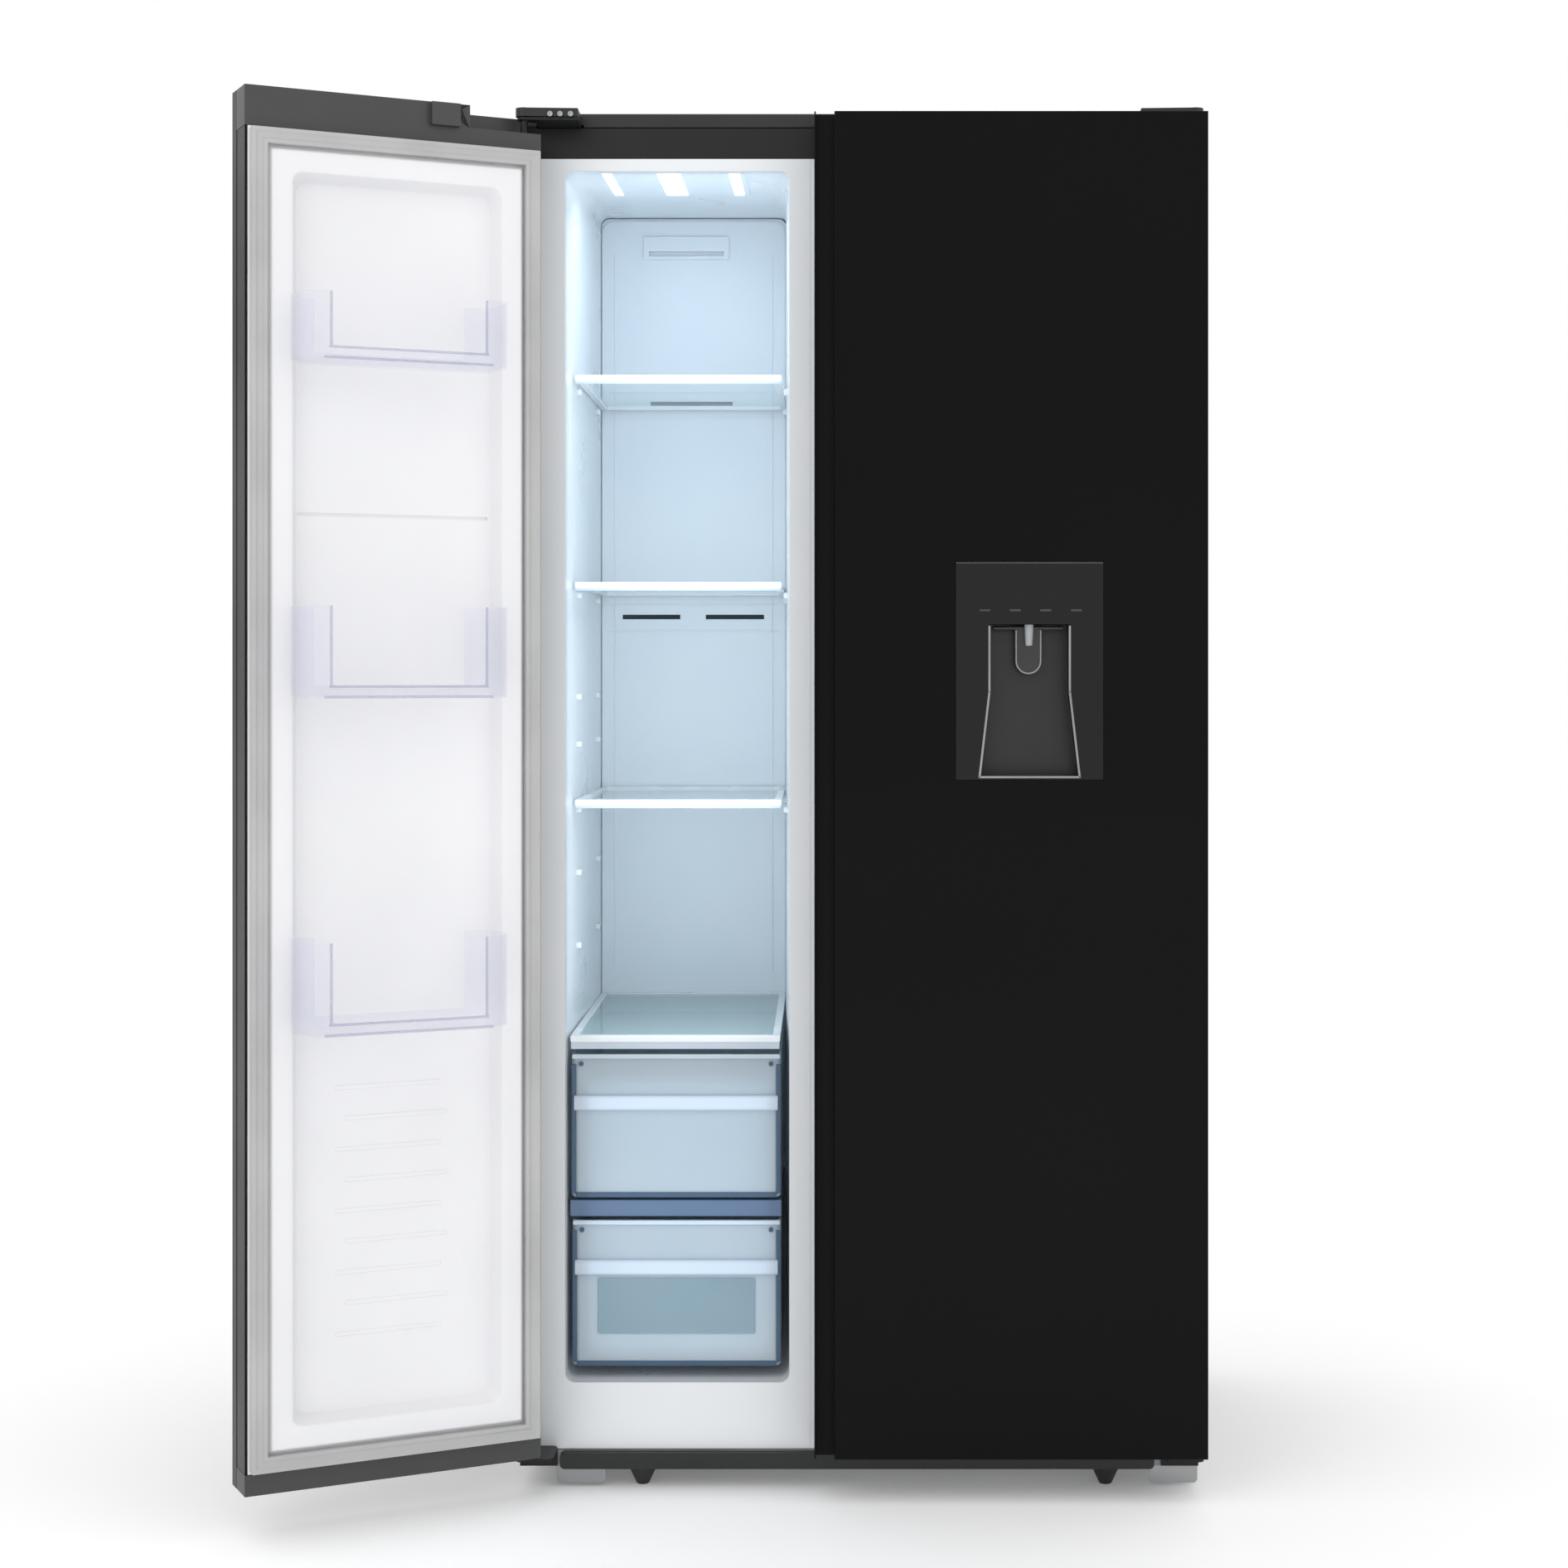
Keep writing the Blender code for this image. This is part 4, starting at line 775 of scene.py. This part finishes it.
def bin_on(door, name, stop, bottom, height):
    """A bin's wrapped wall with its cut-out front, and the thicker rim along its edges."""
    low, high = on_door(door, BIN_EDGE, stop, BIN_BACK, BIN_FRONT, bottom, bottom + height)
    shell = begin(name + "_wall", low, high)
    choose("EDGE", lambda p, d: abs(d.z) > 0.9)
    bpy.ops.mesh.bevel(offset=0.030, segments=7, affect="EDGES")
    choose("FACE", lambda p, n: n.z > 0.9)
    bpy.ops.mesh.delete(type="FACE")
    cuts = (((low.x + PILLAR, 0, 0), (1, 0, 0)), ((high.x - PILLAR, 0, 0), (1, 0, 0)),
            ((0, 0, low.z + BAR), (0, 0, 1)))
    for co, normal in cuts:
        bpy.ops.mesh.select_all(action="SELECT")
        bpy.ops.mesh.bisect(plane_co=co, plane_no=normal)
    choose("FACE", lambda p, n: abs(n.y) > 0.9 and low.x + PILLAR < p.x < high.x - PILLAR
           and p.z > low.z + BAR)
    bpy.ops.mesh.delete(type="FACE")
    choose("VERT", lambda p, n: p.y > high.y - 0.0005 and abs(p.z - low.z - BAR) < 0.0002
           and min(abs(p.x - low.x - PILLAR), abs(p.x - high.x + PILLAR)) < 0.0002)
    bpy.ops.mesh.bevel(offset=0.007, segments=4, affect="VERTICES")
    choose("EDGE", lambda p, d: p.z < low.z + 0.0002 and abs(d.z) < 0.1)
    bpy.ops.mesh.bevel(offset=0.003, segments=3, affect="EDGES")
    end(shell, lavender, wall=0.0024, edge=0.0005, steps=2)
    bars = [block("bar", (low.x + PILLAR - 0.004, high.y - 0.0036, low.z + BAR - 0.0030),
                  (high.x - PILLAR + 0.004, high.y - 0.0001, low.z + BAR), lavender_rim, 0.001, steps=3),
            block("bar", (low.x + 0.026, high.y - 0.0036, low.z + 0.0002),
                  (high.x - 0.026, high.y - 0.0001, low.z + 0.0035), lavender_rim, 0.001, steps=3)]
    for x in (low.x + PILLAR - 0.003, high.x - PILLAR):
        bars.append(block("bar", (x, high.y - 0.0034, low.z + BAR),
                          (x + 0.003, high.y - 0.0001, high.z - 0.0005),
                          lavender_rim, 0.001, steps=3))
    rim = joined(name + "_rim", bars)
    for piece in (shell, rim):
        if door == "freezer_door":
            swing(piece)
        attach(piece, door)
        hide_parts(name)


for number, (bottom, height) in enumerate(FREEZER_BINS, 1):
    bin_on("freezer_door", f"freezer_bin_{number}", FREEZER_BIN_END, bottom, height)
for number, (bottom, height) in enumerate(FRIDGE_BINS, 1):
    bin_on("fridge_door", f"fridge_bin_{number}", FRIDGE_BIN_END, bottom, height)

# The water dispenser's front: a black glass plate flush with the door, with a flared opening. A silver line
# frames the opening and four short marks show where to touch.
bezel = softened("dispenser_bezel", "dispenser_front", 0.0004, 2)
bezel_glass = skin("dispenser_glass", (0.0080, 0.0080, 0.0084), (0.0100, 0.0100, 0.0105), (0.08, 0.13), 20,
                   0.03, 0.0002, Specular_IOR_Level=0.22)
bezel.data.materials.append(bezel_glass)
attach(bezel, "fridge_door")
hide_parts("dispenser_bezel")

housing_grey = skin("dark_dispenser_moulding", (0.007, 0.007, 0.0075), (0.012, 0.012, 0.0125),
                    (0.30, 0.42), 80, 0.3, 0.0003)
housing = softened("dispenser_housing", "dispenser_well", 0.0008, 2)
housing.data.materials.append(housing_grey)
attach(housing, "fridge_door")
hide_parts("dispenser_housing")

silver = skin("silver_line", (0.26, 0.26, 0.27), (0.34, 0.34, 0.35), (0.25, 0.35), 80, 0.1, 0.0002,
              Metallic=0.5)
bezel_face = DISPENSER_LOW.y
recess = [(-0.0516, 1.128), (-0.0516, 1.044), (-0.0643, 0.9345), (0.0643, 0.9345), (0.0516, 1.044),
          (0.0516, 1.128)]
line_width = 0.0028
marks = []
for (x1, z1), (x2, z2) in zip(recess, recess[1:]):
    length = math.hypot(x2 - x1, z2 - z1)
    piece = begin("line", (-line_width / 2, -0.0004, -length / 2 - line_width / 3),
                  (line_width / 2, 0.0012, length / 2 + line_width / 3))
    end(piece, silver, edge=0.0004, steps=2)
    lean = math.atan2(x2 - x1, z2 - z1)
    centre = at(0.218 + (x1 + x2) / 2, 0, (z1 + z2) / 2)
    centre.y = bezel_face
    piece.data.transform(Matrix.Translation(centre) @ Matrix.Rotation(lean, 4, "Y"))
    marks.append(piece)
frame_line = joined("dispenser_outline", marks)
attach(frame_line, "fridge_door")
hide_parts("dispenser_bezel")

mark_grey = skin("touch_mark_grey", (0.035, 0.035, 0.036), (0.050, 0.050, 0.052), (0.35, 0.45), 80, 0.1,
                 0.0002)
dashes = []
for offset in (-0.0573, -0.0184, 0.0206, 0.0600):
    dashes.append(block("dash", (DISPENSER_LOW.x + 0.095 + offset - 0.0070, bezel_face - 0.0003, 1.1475),
                        (DISPENSER_LOW.x + 0.095 + offset + 0.0070, bezel_face + 0.0010, 1.1500),
                        mark_grey, 0.0003))
dashes.append(block("dash", (DISPENSER_LOW.x + 0.0005, bezel_face - 0.0003, DISPENSER_HIGH.z - 0.0022),
                    (DISPENSER_HIGH.x - 0.0005, bezel_face + 0.0010, DISPENSER_HIGH.z - 0.0004),
                    mark_grey, 0.0003))
touch_marks = joined("dispenser_touch_marks", dashes)
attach(touch_marks, "fridge_door")
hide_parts("dispenser_bezel")

# The paddle: a U-shaped lever that a glass pushes back to open the valve, with a bright moulded edge,
# and over it the clear spout that the water leaves by.
paddle_grey = skin("paddle_moulding", (0.022, 0.022, 0.023), (0.032, 0.032, 0.033), (0.22, 0.30), 80, 0.2,
                   0.0002)
paddle = softened("dispenser_paddle", "dispenser_paddle_plate", 0.0006, 2)
paddle.data.materials.append(paddle_grey)
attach(paddle, "paddle")
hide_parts("dispenser_paddle")

bpy.ops.object.select_all(action="DESELECT")
bpy.ops.mesh.primitive_circle_add(vertices=32, radius=0.0158, location=at(0.218, 0.0222, 1.0835),
                                  rotation=(math.pi / 2, 0, 0))
edge_line = bpy.context.object
bpy.ops.object.transform_apply(location=True, rotation=True, scale=True)
bpy.ops.object.mode_set(mode="EDIT")
choose("VERT", lambda p, n: p.z > 1.0836)
bpy.ops.mesh.delete(type="VERT")
choose("VERT", lambda p, n: p.z > 1.0830)
draw_out(z=0.040)
bpy.ops.object.mode_set(mode="OBJECT")
bpy.ops.object.convert(target="CURVE")
edge_line.data.bevel_depth = 0.0013
edge_line.data.bevel_resolution = 3
edge_line.data.use_fill_caps = True
bpy.ops.object.convert(target="MESH")
edge_line.name = "dispenser_paddle_edge"
bpy.ops.object.shade_smooth_by_angle(angle=math.radians(40))
edge_line.data.materials.append(silver)
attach(edge_line, "paddle")
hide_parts("dispenser_paddle")

clear_spout = skin("clear_spout", (0.50, 0.54, 0.56), (0.58, 0.62, 0.64), (0.08, 0.12), 80, 0.05, 0.0002,
                   Alpha=0.55)
spout = softened("dispenser_nozzle", "dispenser_spout", 0.0008, 2)
spout.data.materials.append(clear_spout)
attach(spout, "fridge_door")
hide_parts("dispenser_nozzle")

# The water tank: a smoky clear bottle on the inside of the fridge door, filled through a round neck on top.
tank_plastic = skin("clear_tank_plastic", (0.55, 0.66, 0.76), (0.62, 0.72, 0.80), (0.08, 0.14), 30, 0.05,
                    0.0003, Alpha=0.45)
tank = softened("water_tank", "fridge_water_tank", 0.0015, 2)
tank.data.materials.append(tank_plastic)
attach(tank, "fridge_door")
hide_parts("water_tank")

# The hinges and their cover: black steel arms with pins, screwed to the top of the case under one dark
# moulded cover, and black angle brackets under the doors. The cover's three screws are bright.
hinge_steel = skin("zinc_plated_steel", (0.30, 0.31, 0.32), (0.42, 0.43, 0.44), (0.28, 0.42), 60, 0.2,
                   Metallic=0.85)
for node, name in (("freezer_top_hinge", "freezer_top_hinge_arm"),
                   ("fridge_top_hinge", "fridge_top_hinge_arm"),
                   ("freezer_lower_hinge", "freezer_lower_bracket"),
                   ("fridge_lower_hinge", "fridge_lower_bracket")):
    arm = softened(node, name, 0.0005, 2)
    arm.data.materials.append(satin_black)
    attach(arm, "cabinet")
    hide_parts(node)

cover_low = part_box("top_cover")[0]
screws = []
for x in (-0.4000, -0.3870, -0.3735):
    bpy.ops.object.select_all(action="DESELECT")
    bpy.ops.mesh.primitive_cylinder_add(vertices=20, radius=0.0036, depth=0.0022,
                                        rotation=(math.pi / 2, 0, 0),
                                        location=(MIDDLE_X + x, cover_low.y - 0.0003, 1.7905))
    screw = bpy.context.object
    bpy.ops.object.transform_apply(location=True, rotation=True, scale=True)
    bpy.ops.object.mode_set(mode="EDIT")
    choose("FACE", lambda p, n: n.y < -0.9)
    bpy.ops.mesh.inset(thickness=0.0014, depth=-0.0008)
    screws.append(end(screw, hinge_steel, edge=0.0003, steps=2))
cover_screws = joined("hinge_cover_screws", screws)
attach(cover_screws, "cabinet")
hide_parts("top_cover")

cover = softened("top_cover", "hinge_cover_rail", 0.0010, 2)
cover_black = skin("black_cover_moulding", (0.008, 0.008, 0.0085), (0.013, 0.013, 0.0135), (0.38, 0.50),
                   80, 0.35, 0.0003)
cover.data.materials.append(cover_black)
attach(cover, "cabinet")
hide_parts("top_cover")

# The base: a galvanised chassis under the case, a dark kick strip across the front, two levelling feet
# and two rollers.
galvanised = skin("galvanised_sheet", (0.22, 0.23, 0.24), (0.34, 0.35, 0.36), (0.35, 0.55), 90, 0.15,
                  Metallic=0.7)
chassis = softened("base_chassis", "base_pan", 0.0005, 1)
chassis.data.materials.append(galvanised)
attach(chassis, "cabinet")
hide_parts("base_chassis")

kick_dark = skin("dark_kick_moulding", (0.006, 0.007, 0.007), (0.010, 0.011, 0.011), (0.32, 0.44), 80, 0.3,
                 0.0003)
kick = softened("kick_plate", "kick_strip", 0.0010, 2)
kick.data.materials.append(kick_dark)
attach(kick, "cabinet")
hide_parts("kick_plate")

kick_low, kick_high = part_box("kick_plate")
trim_line = block("kick_trim_line", (MIDDLE_X - 0.030, kick_low.y - 0.0006, kick_high.z - 0.0022),
                  (kick_high.x - 0.006, kick_low.y + 0.0010, kick_high.z - 0.0006), silver, 0.0004)
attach(trim_line, "cabinet")
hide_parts("kick_plate")

brackets = []
for left, right in ((-0.397, -0.333), (0.381, 0.444)):
    piece = begin("bracket", at(left, 0.0800, 0.0050), at(right, 0.0815, 0.0290))
    choose("EDGE", lambda p, d: abs(d.y) > 0.9 and p.z < 0.006)
    bpy.ops.mesh.bevel(offset=0.006, segments=4, affect="EDGES")
    choose("FACE", lambda p, n: n.z > 0.9)
    draw_out(y=0.010, z=0.0)
    brackets.append(end(piece, hinge_steel, edge=0.0004))
corner_plates = joined("front_corner_plates", brackets)
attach(corner_plates, "cabinet")
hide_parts("base_chassis")

foot_black = skin("black_foot_plastic", (0.016, 0.016, 0.017), (0.024, 0.024, 0.025), (0.45, 0.60), 90,
                  0.3, 0.0003)
for node, body in (("front_foot_left", "left_foot"), ("front_foot_right", "right_foot"),
                   ("rear_roller_left", "left_roller"), ("rear_roller_right", "right_roller")):
    foot = softened(node, node + "_moulding", 0.0008, 2)
    foot.data.materials.append(foot_black)
    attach(foot, body)
    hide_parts(node)

# The machine room at the back: compressor, condenser coil and fan behind a slotted steel panel, with the
# socket for the mains lead beside them.
panel_grey = skin("grey_back_sheet", (0.225, 0.235, 0.245), (0.240, 0.250, 0.260), (0.42, 0.55), 50, 0.2,
                  Metallic=0.3)
back = softened("back_panel", "slotted_back_sheet", 0.0004, 1)
back.data.materials.append(panel_grey)
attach(back, "cabinet")
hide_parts("back_panel")

for node, name, stuff, finish_slot in (("compressor", "compressor_shell", satin_black, "black_compressor"),
                                       ("condenser", "condenser_coil", satin_black, "black_steel"),
                                       ("power_inlet", "mains_socket", foot_black, "dark_plastic")):
    item = softened(node, name, 0.0008, 1)
    item.data.materials.append(stuff)
    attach(item, "cabinet")
    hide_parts(node)

# The cold side: a finned evaporator and its fan behind the freezer's back wall, and the duct that carries
# air up the fridge's back wall.
fin_silver = skin("aluminium_fins", (0.48, 0.49, 0.50), (0.60, 0.61, 0.62), (0.30, 0.42), 90, 0.15,
                  Metallic=0.85)
for node, name, body, stuff, finish_slot in (
        ("evaporator", "evaporator_fins", "cabinet", fin_silver, "silver_fins"),
        ("evaporator_fan", "evaporator_fan_rotor", "evaporator_fan", foot_black, "dark_plastic"),
        ("condenser_fan", "condenser_fan_rotor", "condenser_fan", foot_black, "dark_plastic"),
        ("fridge_duct", "fridge_air_duct", "cabinet", cold_white, "white_liner")):
    item = softened(node, name, 0.0006, 1)
    item.data.materials.append(stuff)
    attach(item, body)
    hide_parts(node)
